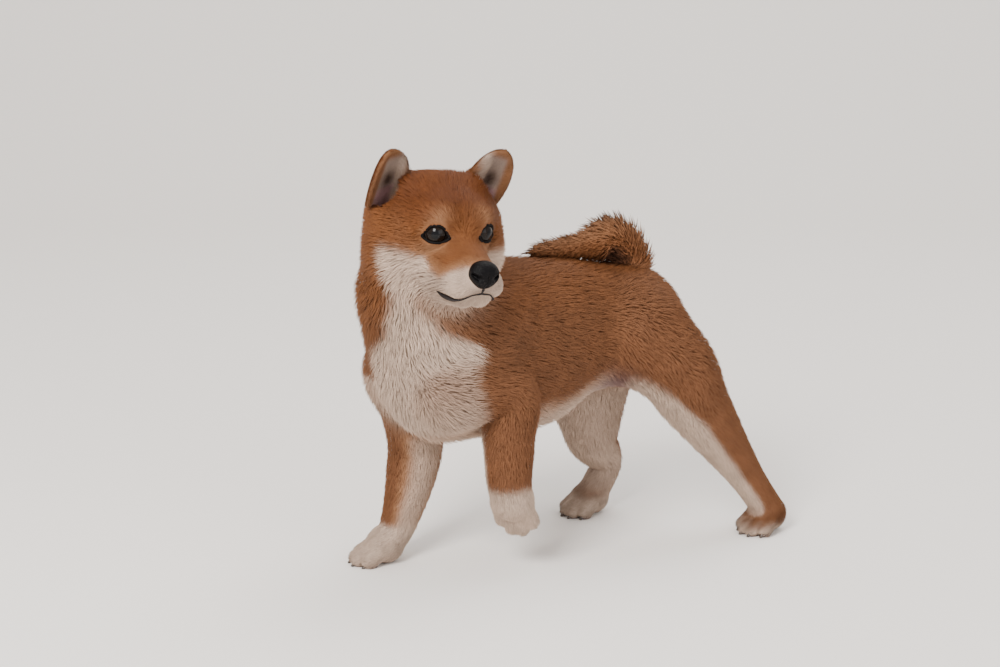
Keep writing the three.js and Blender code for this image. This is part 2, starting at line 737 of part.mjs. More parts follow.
function earSolid(side) {
  const rings = EAR_ROWS.map((up) =>
    Array.from({ length: EAR_AROUND }, (_, n) => {
      const angle = (-2 * Math.PI * n) / EAR_AROUND;
      const rise = Math.sin(angle);
      return inEar(up, Math.cos(angle), (Math.sign(rise) * Math.sqrt(Math.abs(rise)) * EAR.thick) / 2);
    }),
  );
  const placed = (m) => fromHead(side(m));
  const turned = side([0, 1, 0])[1] > 0 ? rings : rings.map((ring) => [...ring].reverse());
  const [root, tip] = [EAR_ROWS[0], 1].map((up) => placed(inEar(up, 0, 0)));
  return largest(lofted(turned.map((ring) => ring.map(placed)), root, tip).subtract(headSeat));
}

// Tail
const tailStations = tailLengths.reduce((sums, point, i) => {
  const step = i ? Math.hypot(...minus(point.slice(0, 3), tailLengths[i - 1].slice(0, 3))) : 0;
  return [...sums, step + (sums[i - 1] ?? 0)];
}, []);
const tailReach = tailStations[tailStations.length - 1];

// The tail's middle, its direction and its radius at a distance along it, run on straight past its end
function tailAt(distance) {
  const next = tailStations.findIndex((v, i) => i > 0 && (v >= distance || i === tailStations.length - 1));
  const [a, b] = [tailLengths[next - 1], tailLengths[next]];
  const t = (distance - tailStations[next - 1]) / (tailStations[next] - tailStations[next - 1]);
  const [x, y, z, radius] = a.map((v, k) => v + (b[k] - v) * t);
  return { at: [x, y, z], ahead: unit(minus(b, a).slice(0, 3)), radius: Math.max(radius, TAIL.radii.at(-1)) };
}

// A seeded draw between 0 and 1
function drawing(seed) {
  let state = seed;
  return () => {
    state = (state * 16807) % 2147483647;
    return state / 2147483647;
  };
}

// One lock of the tail, rooted in the core at a distance along it. Angle 0 is the side that the tail curls to.
// Its section is a lens, wide across and thin outward, and its end is a point.
function tailLock(distance, angle, length, reach) {
  const shape = [
    { along: 0, out: 0.2, wide: 0.75, thin: 1 },
    { along: 0.35, out: 0.62, wide: 1, thin: 1 },
    { along: 0.72, out: 0.86, wide: 0.7, thin: 0.7 },
    { along: 1, out: 1, wide: 0, thin: 0 },
  ];
  const halfWidth = tailAt(distance).radius * LOCK_WIDTH;
  const rings = shape.map(({ along, out, wide, thin }) => {
    const { at, ahead, radius } = tailAt(distance + along * length);
    const inward = unit(cross([0, 1, 0], ahead));
    const outward = plus(times(inward, Math.cos(angle)), times(cross(ahead, inward), Math.sin(angle)));
    const middle = plus(at, times(outward, out * radius * reach));
    const [a, b] = [times(cross(outward, ahead), wide * halfWidth), times(outward, thin * LOCK_THICK)];
    return [plus(middle, a), plus(middle, b), minus(middle, a), minus(middle, b)];
  });
  const middle = (ring) => times(plus(ring[0], ring[2]), 0.5);
  return lofted(rings.slice(0, -1), middle(rings[0]), middle(rings.at(-1)));
}

function tailLocks() {
  const draw = drawing(LOCK_SEED);
  const jitter = (amount) => 1 + amount * (2 * draw() - 1);
  return Array.from({ length: LOCK_RINGS * LOCKS_AROUND }, (_, n) => {
    const ring = Math.floor(n / LOCKS_AROUND);
    const turn = (n % LOCKS_AROUND) + 0.5 * (ring % 2) + 0.15 * (draw() - 0.5);
    const angle = (2 * Math.PI * turn) / LOCKS_AROUND;
    const spacing = (tailReach - LOCK_FIRST - LOCK_LAST) / (LOCK_RINGS - 1);
    const taper = 1 - 0.4 * (ring / LOCK_RINGS) ** 2;
    return tailLock(LOCK_FIRST + ring * spacing, angle, LOCK_LENGTH * taper * jitter(0.12), jitter(0.08));
  });
}

const tailCore = bentRod(
  tailLengths.map((point) => point.slice(0, 3)),
  tailLengths.map((point) => point[3] * TAIL_CORE),
  TAIL_SIDES,
);
const tailWhole = tailLocks().reduce((solid, lock) => solid.add(lock), tailCore);
const rumpSeat = swollen(trunkSolids.rump, RUMP.centre, RUMP.half[2]);
const loinSeat = swollen(trunkSolids.belly, LOIN.centre, LOIN.half[2]);
const tail = settled(tailWhole.subtract(rumpSeat).subtract(loinSeat));

// The model
const puppy = new THREE.Group();
puppy.position.set(-ORIGIN[0], -ORIGIN[1], -ORIGIN[2]);

function add(name, solid, colour, roughness = 0.9) {
  const material = new THREE.MeshStandardMaterial({ color: colour, roughness, metalness: 0 });
  const mesh = new THREE.Mesh(geometryOf(solid), material);
  mesh.name = name;
  puppy.add(mesh);
}

add("head", headSolid, COLOURS.red);
add("nose", nose, COLOURS.black, 0.4);
for (const [name, side] of Object.entries(eyeSides)) {
  add(`eye_${name}`, ball(fromHead(side(eyeCentre)), EYE_RADIUS), COLOURS.eye, 0.1);
  add(`ear_${name}`, earSolid(side), COLOURS.red);
}
for (const [name, solid] of Object.entries({ ...trunkSolids, ...legSolids })) {
  add(name, largest(solid), COLOURS.red);
}
for (const [name, leg] of Object.entries(LEGS)) {
  add(name.replace("leg", "paw"), pawSolid(leg), COLOURS.cream);
}
add("tail", tail, COLOURS.red);

const group = new THREE.Group();
group.add(puppy);
export default group;
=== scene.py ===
"""A shiba inu puppy of about ten weeks as a life-size still model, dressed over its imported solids.

Shapes are worked out in millimetres in the frame of the pose, whose origin lies on the floor under the
chest, and written to the meshes in metres in the frame of the part.
"""
import math

import bpy
import numpy as np
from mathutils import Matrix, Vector


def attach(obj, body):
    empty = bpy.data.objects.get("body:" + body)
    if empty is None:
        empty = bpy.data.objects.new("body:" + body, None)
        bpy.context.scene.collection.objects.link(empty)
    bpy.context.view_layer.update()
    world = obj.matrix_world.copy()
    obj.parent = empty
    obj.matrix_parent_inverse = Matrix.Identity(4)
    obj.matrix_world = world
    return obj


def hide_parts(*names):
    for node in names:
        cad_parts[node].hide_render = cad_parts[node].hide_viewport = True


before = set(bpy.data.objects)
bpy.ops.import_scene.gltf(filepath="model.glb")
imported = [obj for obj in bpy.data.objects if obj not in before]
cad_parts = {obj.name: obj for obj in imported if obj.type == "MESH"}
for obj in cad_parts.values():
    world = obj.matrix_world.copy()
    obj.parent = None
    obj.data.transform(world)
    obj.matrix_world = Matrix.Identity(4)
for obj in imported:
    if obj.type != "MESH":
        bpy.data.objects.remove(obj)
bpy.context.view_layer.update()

# Floor, backdrop, lights and camera
# A pale studio sweep: the floor runs back and curves up into a plain wall. The camera stands where the
# photo's did.
POSE_ORIGIN = np.array([-49.8, 15.9, 0.0])  # middle of the footprint, in the frame of the pose
MILLI = 0.001
CAMERA_ANGLE = math.radians(56)  # round from straight ahead towards the puppy's left
CAMERA_HEIGHT = math.radians(13)
CAMERA_TARGET = (np.array([0.0, 0.0, 182.0]) - POSE_ORIGIN) * MILLI
CAMERA_DISTANCE = 1.7
FOCAL_PER_WIDTH = 2.125
SENSOR_WIDTH = 36
SWEEP_WIDTH = 7.0
SWEEP_BACK = 1.5
SWEEP_RADIUS = 1.2
SWEEP_FRONT = 4.0
SWEEP_HEIGHT = 4.5
WALL_COLOUR = (0.90, 0.865, 0.83)
SKY_COLOUR = (1.0, 0.965, 0.935, 1)
LIGHTS = {  # degrees round from straight ahead and up, distance, size, watts and colour
    "key": (30, 38, 2.2, 0.8, 63, (1.0, 0.97, 0.93)),
    "fill": (96, 18, 2.6, 1.6, 18, (0.97, 0.98, 1.0)),
    "top": (200, 62, 2.4, 1.6, 27, (1, 1, 1)),
}
F = np.float32


def plain_mesh(name, points, faces):
    """An object from an array of points in metres and one of faces, all with the same number of corners."""
    points = np.asarray(points, F)
    faces = np.asarray(faces, np.int32)
    mesh = bpy.data.meshes.new(name)
    mesh.vertices.add(len(points))
    mesh.vertices.foreach_set("co", points.ravel())
    mesh.loops.add(faces.size)
    mesh.loops.foreach_set("vertex_index", faces.ravel())
    mesh.polygons.add(len(faces))
    mesh.polygons.foreach_set("loop_start", np.arange(0, faces.size, faces.shape[1], dtype=np.int32))
    mesh.polygons.foreach_set("use_smooth", np.full(len(faces), True))
    mesh.update(calc_edges=True)
    made = bpy.data.objects.new(name, mesh)
    bpy.context.collection.objects.link(made)
    return made


def grid_faces(rows, columns, closed=(False, False)):
    """Quads over a grid of points, closed from the last row or the last column to the first if asked."""
    r = np.arange(rows if closed[0] else rows - 1)[:, None]
    c = np.arange(columns if closed[1] else columns - 1)[None, :]
    up, on = (r + 1) % rows, (c + 1) % columns
    corners = [r * columns + c, r * columns + on, up * columns + on, up * columns + c]
    return np.stack(np.broadcast_arrays(*corners), -1).reshape(-1, 4)


def shader(name, colour=(0.8, 0.8, 0.8), roughness=0.6, **sockets):
    """A material with one principled shader; each further value goes to the socket named by its words."""
    material = bpy.data.materials.new(name)
    material.use_nodes = True
    principled = material.node_tree.nodes["Principled BSDF"]
    principled.inputs["Base Color"].default_value = (*colour, 1)
    principled.inputs["Roughness"].default_value = roughness
    for words, value in sockets.items():
        principled.inputs[words.replace("_", " ").title().replace("Ior", "IOR")].default_value = value
    return material, material.node_tree, principled


def looking(name, data, angle, height, distance):
    """An object aimed at the puppy from a distance, round from straight ahead by angle and up by height."""
    level = math.cos(height)
    away = np.array([math.cos(angle) * level, math.sin(angle) * level, math.sin(height)])
    made = bpy.data.objects.new(name, data)
    made.location = CAMERA_TARGET + away * distance
    made.rotation_euler = Vector(away).to_track_quat("Z", "Y").to_euler()
    bpy.context.collection.objects.link(made)
    return made


bend = np.linspace(0, math.pi / 2, 24)
profile = np.concatenate([
    [[SWEEP_FRONT, 0.0]],
    np.stack([-SWEEP_BACK - SWEEP_RADIUS * np.sin(bend), SWEEP_RADIUS * (1 - np.cos(bend))], -1),
    [[-SWEEP_BACK - SWEEP_RADIUS, SWEEP_HEIGHT]],
])
ahead = np.array([math.cos(CAMERA_ANGLE), math.sin(CAMERA_ANGLE), 0])
aside = np.array([-math.sin(CAMERA_ANGLE), math.cos(CAMERA_ANGLE), 0])
across = np.linspace(-SWEEP_WIDTH, SWEEP_WIDTH, 9)
sweep_points = (
    profile[:, None, :1] * ahead + profile[:, None, 1:] * np.array([0, 0, 1]) + across[None, :, None] * aside
)
sweep = plain_mesh("studio_sweep", sweep_points.reshape(-1, 3), grid_faces(len(profile), len(across)))
sweep.data.materials.append(shader("sweep_paper", WALL_COLOUR, 0.9)[0])

for name, (angle, height, distance, size, power, colour) in LIGHTS.items():
    light = bpy.data.lights.new(name, "AREA")
    light.size = size
    light.energy = power
    light.color = colour
    looking(name, light, math.radians(angle), math.radians(height), distance)
world = bpy.data.worlds.new("studio")
world.use_nodes = True
world.node_tree.nodes["Background"].inputs["Color"].default_value = SKY_COLOUR
world.node_tree.nodes["Background"].inputs["Strength"].default_value = 1.0
bpy.context.scene.world = world

lens = bpy.data.cameras.new("camera")
lens.sensor_width = SENSOR_WIDTH
lens.lens = FOCAL_PER_WIDTH * lens.sensor_width
bpy.context.scene.camera = looking("camera", lens, CAMERA_ANGLE, CAMERA_HEIGHT, CAMERA_DISTANCE)

# Trunk and neck
# Ribs, brisket, loin and rump under a plush coat, with the shoulder blades at the sides and the neck turned
# to the left. Each form has its size over the coat, the coat's depth and the width of its fillet.
RIBS = dict(centre=(18, 0, 174.5), half=(88, 56, 72.5), coat=8)
BRISKET = dict(centre=(60, 5, 166), half=(48, 48, 62), coat=8.5, fillet=20)
LOIN = dict(centre=(-50, -1, 177.5), half=(78, 50, 61.5), coat=7.5, fillet=24)
RUMP = dict(centre=(-116, 1, 177.5), half=(59, 46, 50), coat=7.5, fillet=24)
UNDERSIDE = dict(centre=(-12, 0, 128), half=(58, 34, 27), coat=8, fillet=20)
SHOULDER_TOP = (36, 0, 206)
SHOULDER_POINT = (72, 0, 150)
SHOULDER_OUT = (38, -36)
SHOULDER_RADII = (34, 28)
SHOULDER_COAT = 7.5
SHOULDER_FILLET = 20
NECK = [(56, 0, 196, 58), (80, 10, 226, 52), (84, 22, 262, 46)]  # x, y, z and radius
NECK_COAT = 9.5
NECK_FILLET = 26


def dots(a, b):
    """The dot product of each row of a with b."""
    return (a * b).sum(-1)


def unit(a):
    """Each row divided by its length."""
    a = np.asarray(a, float)
    return a / np.maximum(np.linalg.norm(a, axis=-1, keepdims=True), 1e-9)


def ellipsoid(p, centre, half, axes=None):
    """Near enough the distance to an ellipsoid: k (k - 1) / g, where k is the point's length when the half
    lengths are all one, and g is that length's slope."""
    q = p - np.asarray(centre, F)
    if axes is not None:
        q = q @ np.asarray(axes, F).T
    half = np.asarray(half, F)
    near = np.sqrt(dots(q / half, q / half)) + 1e-6
    slope = np.sqrt(dots(q / half**2, q / half**2)) + 1e-9
    return near * (near - 1) / slope


def limb(p, start, end, start_radius, end_radius):
    """Distance to a rod with round ends: how far off its line's nearest point is, less the radius there."""
    start = np.asarray(start, F)
    along = np.asarray(end, F) - start
    q = p - start
    t = np.clip(q @ along / (along @ along), 0, 1)
    off = q - t[..., None] * along
    return np.sqrt(dots(off, off)) - (start_radius + (end_radius - start_radius) * t)


def join(a, b, k):
    """The smaller of two distances, with a fillet about k wide where they are alike."""
    h = np.clip(0.5 + 0.5 * (b - a) / k, 0, 1)
    return b + (a - b) * h - k * h * (1 - h)


def forms_field(p, bare, first, *others):
    """Distance to ellipsoids and rods run together, without their coats if bare is 1 and over them if 0."""
    f = ellipsoid(p, first["centre"], first["half"]) + bare * first["coat"]
    for form in others:
        if "half" in form:
            shape = ellipsoid(p, form["centre"], form["half"])
        else:
            shape = limb(p, form["start"], form["end"], *form["radii"])
        f = join(f, shape + bare * form["coat"], form["fillet"])
    return f


def course(knots, parts=5):
    """A rounded line (Catmull-Rom) through rows of x, y, z and radius, as more such rows."""
    knots = np.asarray(knots, float)
    knots = np.vstack([2 * knots[0] - knots[1], knots, 2 * knots[-1] - knots[-2]])
    t = (np.arange(parts) / parts)[:, None]
    rows = []
    for a, b, c, d in zip(knots[:-3], knots[1:-2], knots[2:-1], knots[3:]):
        square = 2 * a - 5 * b + 4 * c - d
        cube = 3 * b - a - 3 * c + d
        rows.append(0.5 * (2 * b + (c - a) * t + square * t**2 + cube * t**3))
    return np.vstack([*rows, knots[-2:-1]])


def rods(p, line):
    """Distance to each rod along a course."""
    return (limb(p, a[:3], b[:3], a[3], b[3]) for a, b in zip(line[:-1], line[1:]))


def tube(p, line):
    """Distance to a course."""
    near = np.inf
    for f in rods(p, line):
        near = np.minimum(near, f)
    return near


def trunk_field(p, bare):
    """Distance to the trunk, without its coat if bare is 1 and over it if bare is 0."""
    f = forms_field(p, bare, RIBS, BRISKET, LOIN, RUMP, UNDERSIDE)
    for out in SHOULDER_OUT:
        top = np.add(SHOULDER_TOP, (0, out * 0.6, 0))
        point = np.add(SHOULDER_POINT, (0, out, 0))
        f = join(f, limb(p, top, point, *SHOULDER_RADII) + bare * SHOULDER_COAT, SHOULDER_FILLET)
    return f


neck_line = course(NECK)


def neck_field(p, bare):
    """Distance to the neck."""
    return tube(p, neck_line) + bare * NECK_COAT


# Head and ears
# A broad puppy skull with full cheeks, a short muzzle and small pricked ears. The head has its own frame:
# x to the nose, y to the left and z to the crown; both sides are alike, so y is taken as positive.
HEAD_AT = np.array([77.0, 35.0, 280.0])
HEAD_YAW, HEAD_PITCH, HEAD_ROLL = (math.radians(a) for a in (84, -5, -4))
SKULL = dict(centre=(-17, 0, 6), half=(54, 52, 34.5), coat=4.5)
CHEEK = dict(centre=(-8, 28, -18), half=(38, 26.5, 28), coat=6, fillet=16)
BROW = dict(centre=(20, 12, 12), half=(18, 18, 13), coat=3, fillet=12)
CROWN_TOP = dict(start=(-8, 0, 28.5), end=(-8, 24, 28.5), radii=(11, 11), coat=4.5, fillet=14)
MUZZLE = dict(start=(18, 0, -13), end=(63, 0, -20.5), radii=(23, 15), coat=1.8, fillet=14)
LIP = dict(start=(14, 8, -28), end=(61, 10.5, -28.5), radii=(17, 11.6), coat=1.8, fillet=10)
JAW = dict(start=(8, 5, -37), end=(57, 6, -37), radii=(18, 8.5), coat=2, fillet=8)
THROAT = dict(start=(0, 0, -44), end=(-20, 0, -50), radii=(24, 34), coat=8, fillet=16)
EYE_HOLLOW = dict(centre=(40, 23.5, 4), half=(9, 10, 7), fillet=8)
HEAD_FILLET = 12
EAR_BASE = np.array([-15.5, 41.0, 22.0])
EAR_TIP = np.array([6.0, 46.0, 57.0])
EAR_OUTER = 16.5  # half widths, to the side and to the crown
EAR_INNER = 20.5
EAR_WAIST = 0.3  # how much it draws in below its base
EAR_POINT = 2.6  # the powers of its outline
EAR_FULLNESS = 2.0
EAR_THICK = 6.4
EAR_BOW = 0.016
EAR_BACK = 7.0
EAR_FACING = np.array([0.975, -0.22, 0.0])
EAR_COAT = 1.1
EAR_ROOT = 10.0  # how far the ear runs on below its base
EAR_FILLET = 3
EAR_LENGTH = float(np.linalg.norm(EAR_TIP - EAR_BASE))
EAR_UP = unit(EAR_TIP - EAR_BASE)
EAR_FACE = unit(EAR_FACING - EAR_UP * (EAR_FACING @ EAR_UP))
EAR_SIDE = np.cross(EAR_UP, EAR_FACE)


def turned(yaw, pitch, roll):
    """Rows are the forward, left and up directions after a yaw to the left, a pitch up and a roll."""
    cy, sy, cp, sp, cr, sr = (f(a) for a in (yaw, pitch, roll) for f in (math.cos, math.sin))
    about_z = np.array([[cy, -sy, 0], [sy, cy, 0], [0, 0, 1]])
    about_y = np.array([[cp, 0, -sp], [0, 1, 0], [sp, 0, cp]])
    about_x = np.array([[1, 0, 0], [0, cr, -sr], [0, sr, cr]])
    return (about_z @ about_y @ about_x).T


HEAD_AXES = turned(HEAD_YAW, HEAD_PITCH, HEAD_ROLL)


def to_head(p):
    """A point in the head's own frame."""
    return (p - HEAD_AT) @ HEAD_AXES.T


def from_head(m):
    """A point of the head's own frame in the frame of the pose."""
    return np.asarray(m) @ HEAD_AXES + HEAD_AT


def folded(m):
    """Points of the head's frame with y taken as positive."""
    m = m.copy()
    m[..., 1] = np.abs(m[..., 1])
    return m


def skull_field(m, bare):
    """Distance to the head without its ears, in the head's frame."""
    f = forms_field(m, bare, SKULL, CHEEK, BROW, CROWN_TOP, MUZZLE, LIP, JAW, THROAT)
    return -join(-f, ellipsoid(m, EYE_HOLLOW["centre"], EYE_HOLLOW["half"]), EYE_HOLLOW["fillet"])


def ear_place(m):
    """Up the ear, across it and out of its cup, for a point in the head's frame."""
    q = m - EAR_BASE
    return q @ EAR_UP, q @ EAR_SIDE, q @ EAR_FACE


def ear_field(m, bare):
    """Distance to the ear: a sheet bowed across, inside the leaf where (up / length) ^ point +
    (side / half width) ^ fullness is under 1; the leaf's distance is that sum less 1, over its slope."""
    up, side, out = ear_place(m)
    rise = np.clip(up / EAR_LENGTH, 0, None)
    half = np.where(side > 0, EAR_OUTER, EAR_INNER) * (1 + EAR_WAIST * np.clip(up / EAR_LENGTH, -0.5, 0))
    wide = np.abs(side) / half
    slope = np.hypot(
        EAR_FULLNESS * wide ** (EAR_FULLNESS - 1) / half, EAR_POINT * rise ** (EAR_POINT - 1) / EAR_LENGTH
    )
    outline = (rise**EAR_POINT + wide**EAR_FULLNESS - 1) / np.maximum(slope, 0.03) + bare * EAR_COAT
    sheet = np.abs(out - EAR_BOW * side**2 + EAR_BACK) - EAR_THICK / 2 + bare * EAR_COAT
    return np.maximum(-join(-outline, -sheet, EAR_FILLET), -up - EAR_ROOT)


# Legs and paws
# Straight puppy legs on big soft paws, each paw with four toes that fan out and bend down. The left foreleg
# is lifted, and the hind legs stand one behind the other. Every leg is a tube along a rounded line.
LEGS = dict(  # knots are rows of x, y, z, radius over the coat and depth of the coat
    foreleg_left=dict(
        knots=[
            (72, 38, 156, 27, 7), (26, 48, 146, 24, 5.5), (26, 51, 112, 21.3, 4), (28, 54, 82, 18.6, 3.2),
            (25.5, 53.5, 64, 17, 2.6),
        ],
        paw=dict(at=(25, 53.5, 62), toes=(-0.06, 0, -1), top=(0.85, 0.5, 0), size=1),
        fillet=14,
        ankle=76,
    ),
    foreleg_right=dict(
        knots=[
            (72, -32, 156, 28, 7), (58, -37, 100, 24, 5), (64, -34, 66, 20.8, 4), (79, -30, 29, 15, 2.8),
            (90, -29, 17, 14.5, 2.6),
        ],
        paw=dict(at=(91, -29, 14.8), toes=(0.97, -0.24, -0.12), top=(0.1, 0, 1), size=0.95),
        fillet=14,
        ankle=33,
    ),
    hindleg_left=dict(
        knots=[
            (-118, 30, 172, 42, 7.5), (-142, 48, 143, 35, 6.5), (-157, 55, 115, 29, 5),
            (-199, 68, 52, 16, 3), (-219, 80, 17, 13.5, 2.6),
        ],
        paw=dict(at=(-219, 80, 14.8), toes=(0.98, 0.12, -0.12), top=(0.1, 0, 1), size=0.95),
        fillet=20,
        ankle=10,
    ),
    hindleg_right=dict(
        knots=[
            (-120, -30, 168, 44, 7.5), (-118, -41, 118, 37, 6.5), (-122, -43, 82, 27, 5),
            (-125, -43, 65, 22, 4), (-138, -42, 42, 14.5, 3), (-125, -42, 16, 13.5, 2.6),
        ],
        paw=dict(at=(-124, -42, 14.6), toes=(0.99, 0.08, -0.1), top=(0.1, 0, 1), size=0.95),
        fillet=20,
        ankle=18,
    ),
)
TOES = [(-12, 19), (-4.2, 25), (4.2, 25), (12, 19)]  # to the side and ahead
TOE_ROOT = (6, 0.8, -1)  # ahead, the share of its way to the side, and up
TOE_TIP = (1.02, -7.5)  # that share, and up
TOE_RADII = (8.2, 7.2)
TOE_FILLET = 3.2
PAW_MIDDLE = (2, 0, -2)
PAW_HALF = np.array([15, 16, 13.6])
PAW_COAT = 1.9
PAW_FILLET = 6
PAW_ROOM = 30  # the paw lies within this of its leg's box


def paw_frame(paw):
    """The paw's ahead, side and up directions, as rows."""
    forward = unit(paw["toes"])
    up = np.asarray(paw["top"], float)
    up = unit(up - forward * (up @ forward))
    return np.stack([forward, np.cross(up, forward), up])


def in_paw(paw, ahead_by, side_by, up_by):
    """A point given in the paw's own directions, in the frame of the pose."""
    return np.asarray(paw["at"]) + np.array([ahead_by, side_by, up_by]) @ paw_frame(paw) * paw["size"]


def toe_line(paw, side_by, length_by):
    """The two ends of a toe's middle line."""
    root_at = in_paw(paw, TOE_ROOT[0], side_by * TOE_ROOT[1], TOE_ROOT[2])
    return root_at, in_paw(paw, length_by, side_by * TOE_TIP[0], TOE_TIP[1])


def paw_field(p, paw, bare):
    """Distance to a paw."""
    size = paw["size"]
    f = ellipsoid(p, in_paw(paw, *PAW_MIDDLE), PAW_HALF * size, paw_frame(paw)) + bare * PAW_COAT
    for toe in TOES:
        rod = limb(p, *toe_line(paw, *toe), *np.multiply(TOE_RADII, size))
        f = join(f, rod + bare * PAW_COAT, TOE_FILLET)
    return f


def lines_of(knots):
    """The course over the coat and the one under it, through rows of x, y, z, radius and coat."""
    over_coat, coats = np.split(np.asarray(knots, float), [4], axis=1)
    return course(over_coat), course(over_coat - coats * (0, 0, 0, 1))


for leg in LEGS.values():
    leg["lines"] = lines_of(leg["knots"])


def leg_field(p, leg, bare):
    """Distance to a leg and its paw."""
    return join(tube(p, leg["lines"][bare]), paw_field(p, leg["paw"], bare), PAW_FILLET)


# Tail
# The tail rises from the rump, curls forward and lies on the back. Its core is thin: the brush makes its
# width.
TAIL_CORE = 0.5  # the core's radius, as a share of the radius to the tips
TAIL_FILLET = 5
TAIL = [  # x, y, z and radius to the tips
    (-122, 2, 204, 16), (-129, 2, 227, 17), (-112, 0, 246, 18), (-90, -2, 244.5, 12), (-67, -3, 244, 7.5),
    (-38, -4, 244, 2.5),
]
TAIL_LINES = lines_of([(*knot, knot[3] * (1 - TAIL_CORE)) for knot in TAIL])


def tail_field(p, bare):
    """Distance to the tail."""
    return tube(p, TAIL_LINES[bare])


# Eyes
# Round dark eyeballs set in the front of the skull, almost black all over, with a wet clear front. Each is
# one ball whose pole points out of the head, and its pupil and iris are rings round that pole.
MIRROR = np.array([1.0, -1.0, 1.0])
SIDES = {"left": np.ones(3), "right": MIRROR}
EYE_RADIUS = 10.0
EYE_FRONT = np.array([35.2, 22.7, 4.6])
EYE_OUT = unit((0.86, 0.5, 0.06))
EYE_ACROSS = unit(np.cross((0, 0, 1), EYE_OUT))  # towards the outer corner
EYE_RISE = np.cross(EYE_OUT, EYE_ACROSS)
EYE_MIDDLE = EYE_FRONT - EYE_OUT * EYE_RADIUS
CORNEA = 0.5  # how far the clear front bulges
CORNEA_ANGLE = 0.5
PUPIL_ANGLE = 0.34
IRIS_ANGLE = 0.78
PUPIL_BLACK = np.array([0.004, 0.004, 0.005])
IRIS_BROWN = np.array([0.008, 0.0045, 0.003])
WHITE_OF_EYE = np.array([0.025, 0.017, 0.015])


def to_part(p):
    """Millimetres in the frame of the pose, as metres in the frame of the part."""
    return (p - POSE_ORIGIN) * MILLI


def halved(quads):
    """Two triangles for each quad."""
    return np.concatenate([quads[:, [0, 1, 2]], quads[:, [0, 2, 3]]])


def capped(rings, around):
    """Triangles over rings of points, closed at each end by a point; these two come after the rings."""
    n = np.arange(around)
    after = (n + 1) % around
    last = (rings - 1) * around
    front = np.full(around, rings * around)
    caps = [np.stack([front, after, n], -1), np.stack([last + n, last + after, front + 1], -1)]
    return np.concatenate([halved(grid_faces(rings, around, (False, True))), *caps])


def ball(around, rings):
    """Directions from the pole (1, 0, 0) back, as (cos a, sin a cos t, sin a sin t) with the two poles last,
    and triangles over them."""
    a = np.linspace(0, math.pi, rings + 1)[1:-1, None]
    t = np.linspace(0, 2 * math.pi, around, endpoint=False)[None, :]
    grid = np.stack([np.cos(a) + 0 * t, np.sin(a) * np.cos(t), np.sin(a) * np.sin(t)], -1)
    return np.concatenate([grid.reshape(-1, 3), [(1.0, 0, 0), (-1.0, 0, 0)]]), capped(rings - 1, around)


def closed_piece(name, placed, faces):
    """A closed mesh in the frame of the pose, its faces turned over if its volume comes out negative."""
    a, b, c = ((placed - placed.mean(0))[faces[:, k]] for k in range(3))
    outward = dots(a, np.cross(b, c)).sum() > 0
    return plain_mesh(name, to_part(placed), faces if outward else faces[:, ::-1])


def head_piece(name, points, faces, side):
    """A closed piece given in the head's frame for the left side, put on the side that is asked for."""
    return closed_piece(name, from_head(points * side), faces)


def put_colours(obj, colours):
    """A colour at each point of the mesh, as the attribute named coat."""
    layer = obj.data.attributes.new("coat", "FLOAT_COLOR", "POINT")
    layer.data.foreach_set("color", np.column_stack([colours, np.ones(len(colours))]).astype(F).ravel())


def ramp(x, start, end):
    """0 before start, 1 past end, and a smooth run between."""
    t = np.clip((x - start) / (end - start), 0, 1)
    return t * t * (3 - 2 * t)


def coloured(name, roughness, **sockets):
    """A finish whose colour is the coat attribute."""
    material, tree, principled = shader(name, roughness=roughness, **sockets)
    attribute = tree.nodes.new("ShaderNodeAttribute")
    attribute.attribute_name = "coat"
    tree.links.new(attribute.outputs["Color"], principled.inputs["Base Color"])
    return material


wet_eye = coloured("wet_eye", 0.05, coat_weight=0.05, coat_roughness=0.02, ior=1.24)
eye_directions, eye_faces = ball(64, 48)
off_pole = np.arccos(np.clip(eye_directions[:, 0], -1, 1))[:, None]
eye_radius = EYE_RADIUS + CORNEA * np.exp(-((off_pole / CORNEA_ANGLE) ** 2))
eye_points = EYE_MIDDLE + (eye_directions * eye_radius) @ np.stack([EYE_OUT, EYE_ACROSS, EYE_RISE])
round_pole = np.arctan2(eye_directions[:, 2], eye_directions[:, 1])[:, None]
rays = 1 + 0.18 * np.sin(round_pole * 23) + 0.12 * np.sin(round_pole * 41 + 1)
iris = IRIS_BROWN * rays * (1 - 0.7 * ramp(off_pole, IRIS_ANGLE - 0.14, IRIS_ANGLE))
eye_colours = PUPIL_BLACK + (iris - PUPIL_BLACK) * ramp(off_pole, PUPIL_ANGLE - 0.05, PUPIL_ANGLE + 0.05)
eye_colours = eye_colours + (WHITE_OF_EYE - eye_colours) * ramp(off_pole, IRIS_ANGLE, IRIS_ANGLE + 0.12)
for side_name, side in SIDES.items():
    eye = head_piece(f"eyeball_{side_name}", eye_points, eye_faces, side)
    put_colours(eye, eye_colours)
    eye.data.materials.append(wet_eye)
    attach(eye, "root")
    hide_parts(f"eye_{side_name}")

# Lids
# A rim of bare black skin runs round each eye as an almond with pointed corners. It is one closed band that
# lies on the eyeball in the middle and in front of it at the corners.
EYE_WIDTH = 20.6
LID_UP = 9.0  # heights of the two arcs over and under the line through the corners
LID_DOWN = 3.9
LID_LINE = -2.6  # that line's height at the eyeball's middle
LID_TILT = -0.03
ALMOND_POWER = 2.6
LID_SECTION = (1.25, 2.1)  # half the rim's width, and how far it reaches in depth
LID_SUNK = 0.9
LID_DEPTHS = (7.0, 5.6)  # the corners are at least this far ahead of the ball's middle, inner and outer
LID_ROOM = 0.6  # between the rim's middle and the ball


def almond_line(wide):
    """The height of the line through the corners."""
    return LID_LINE + LID_TILT * wide


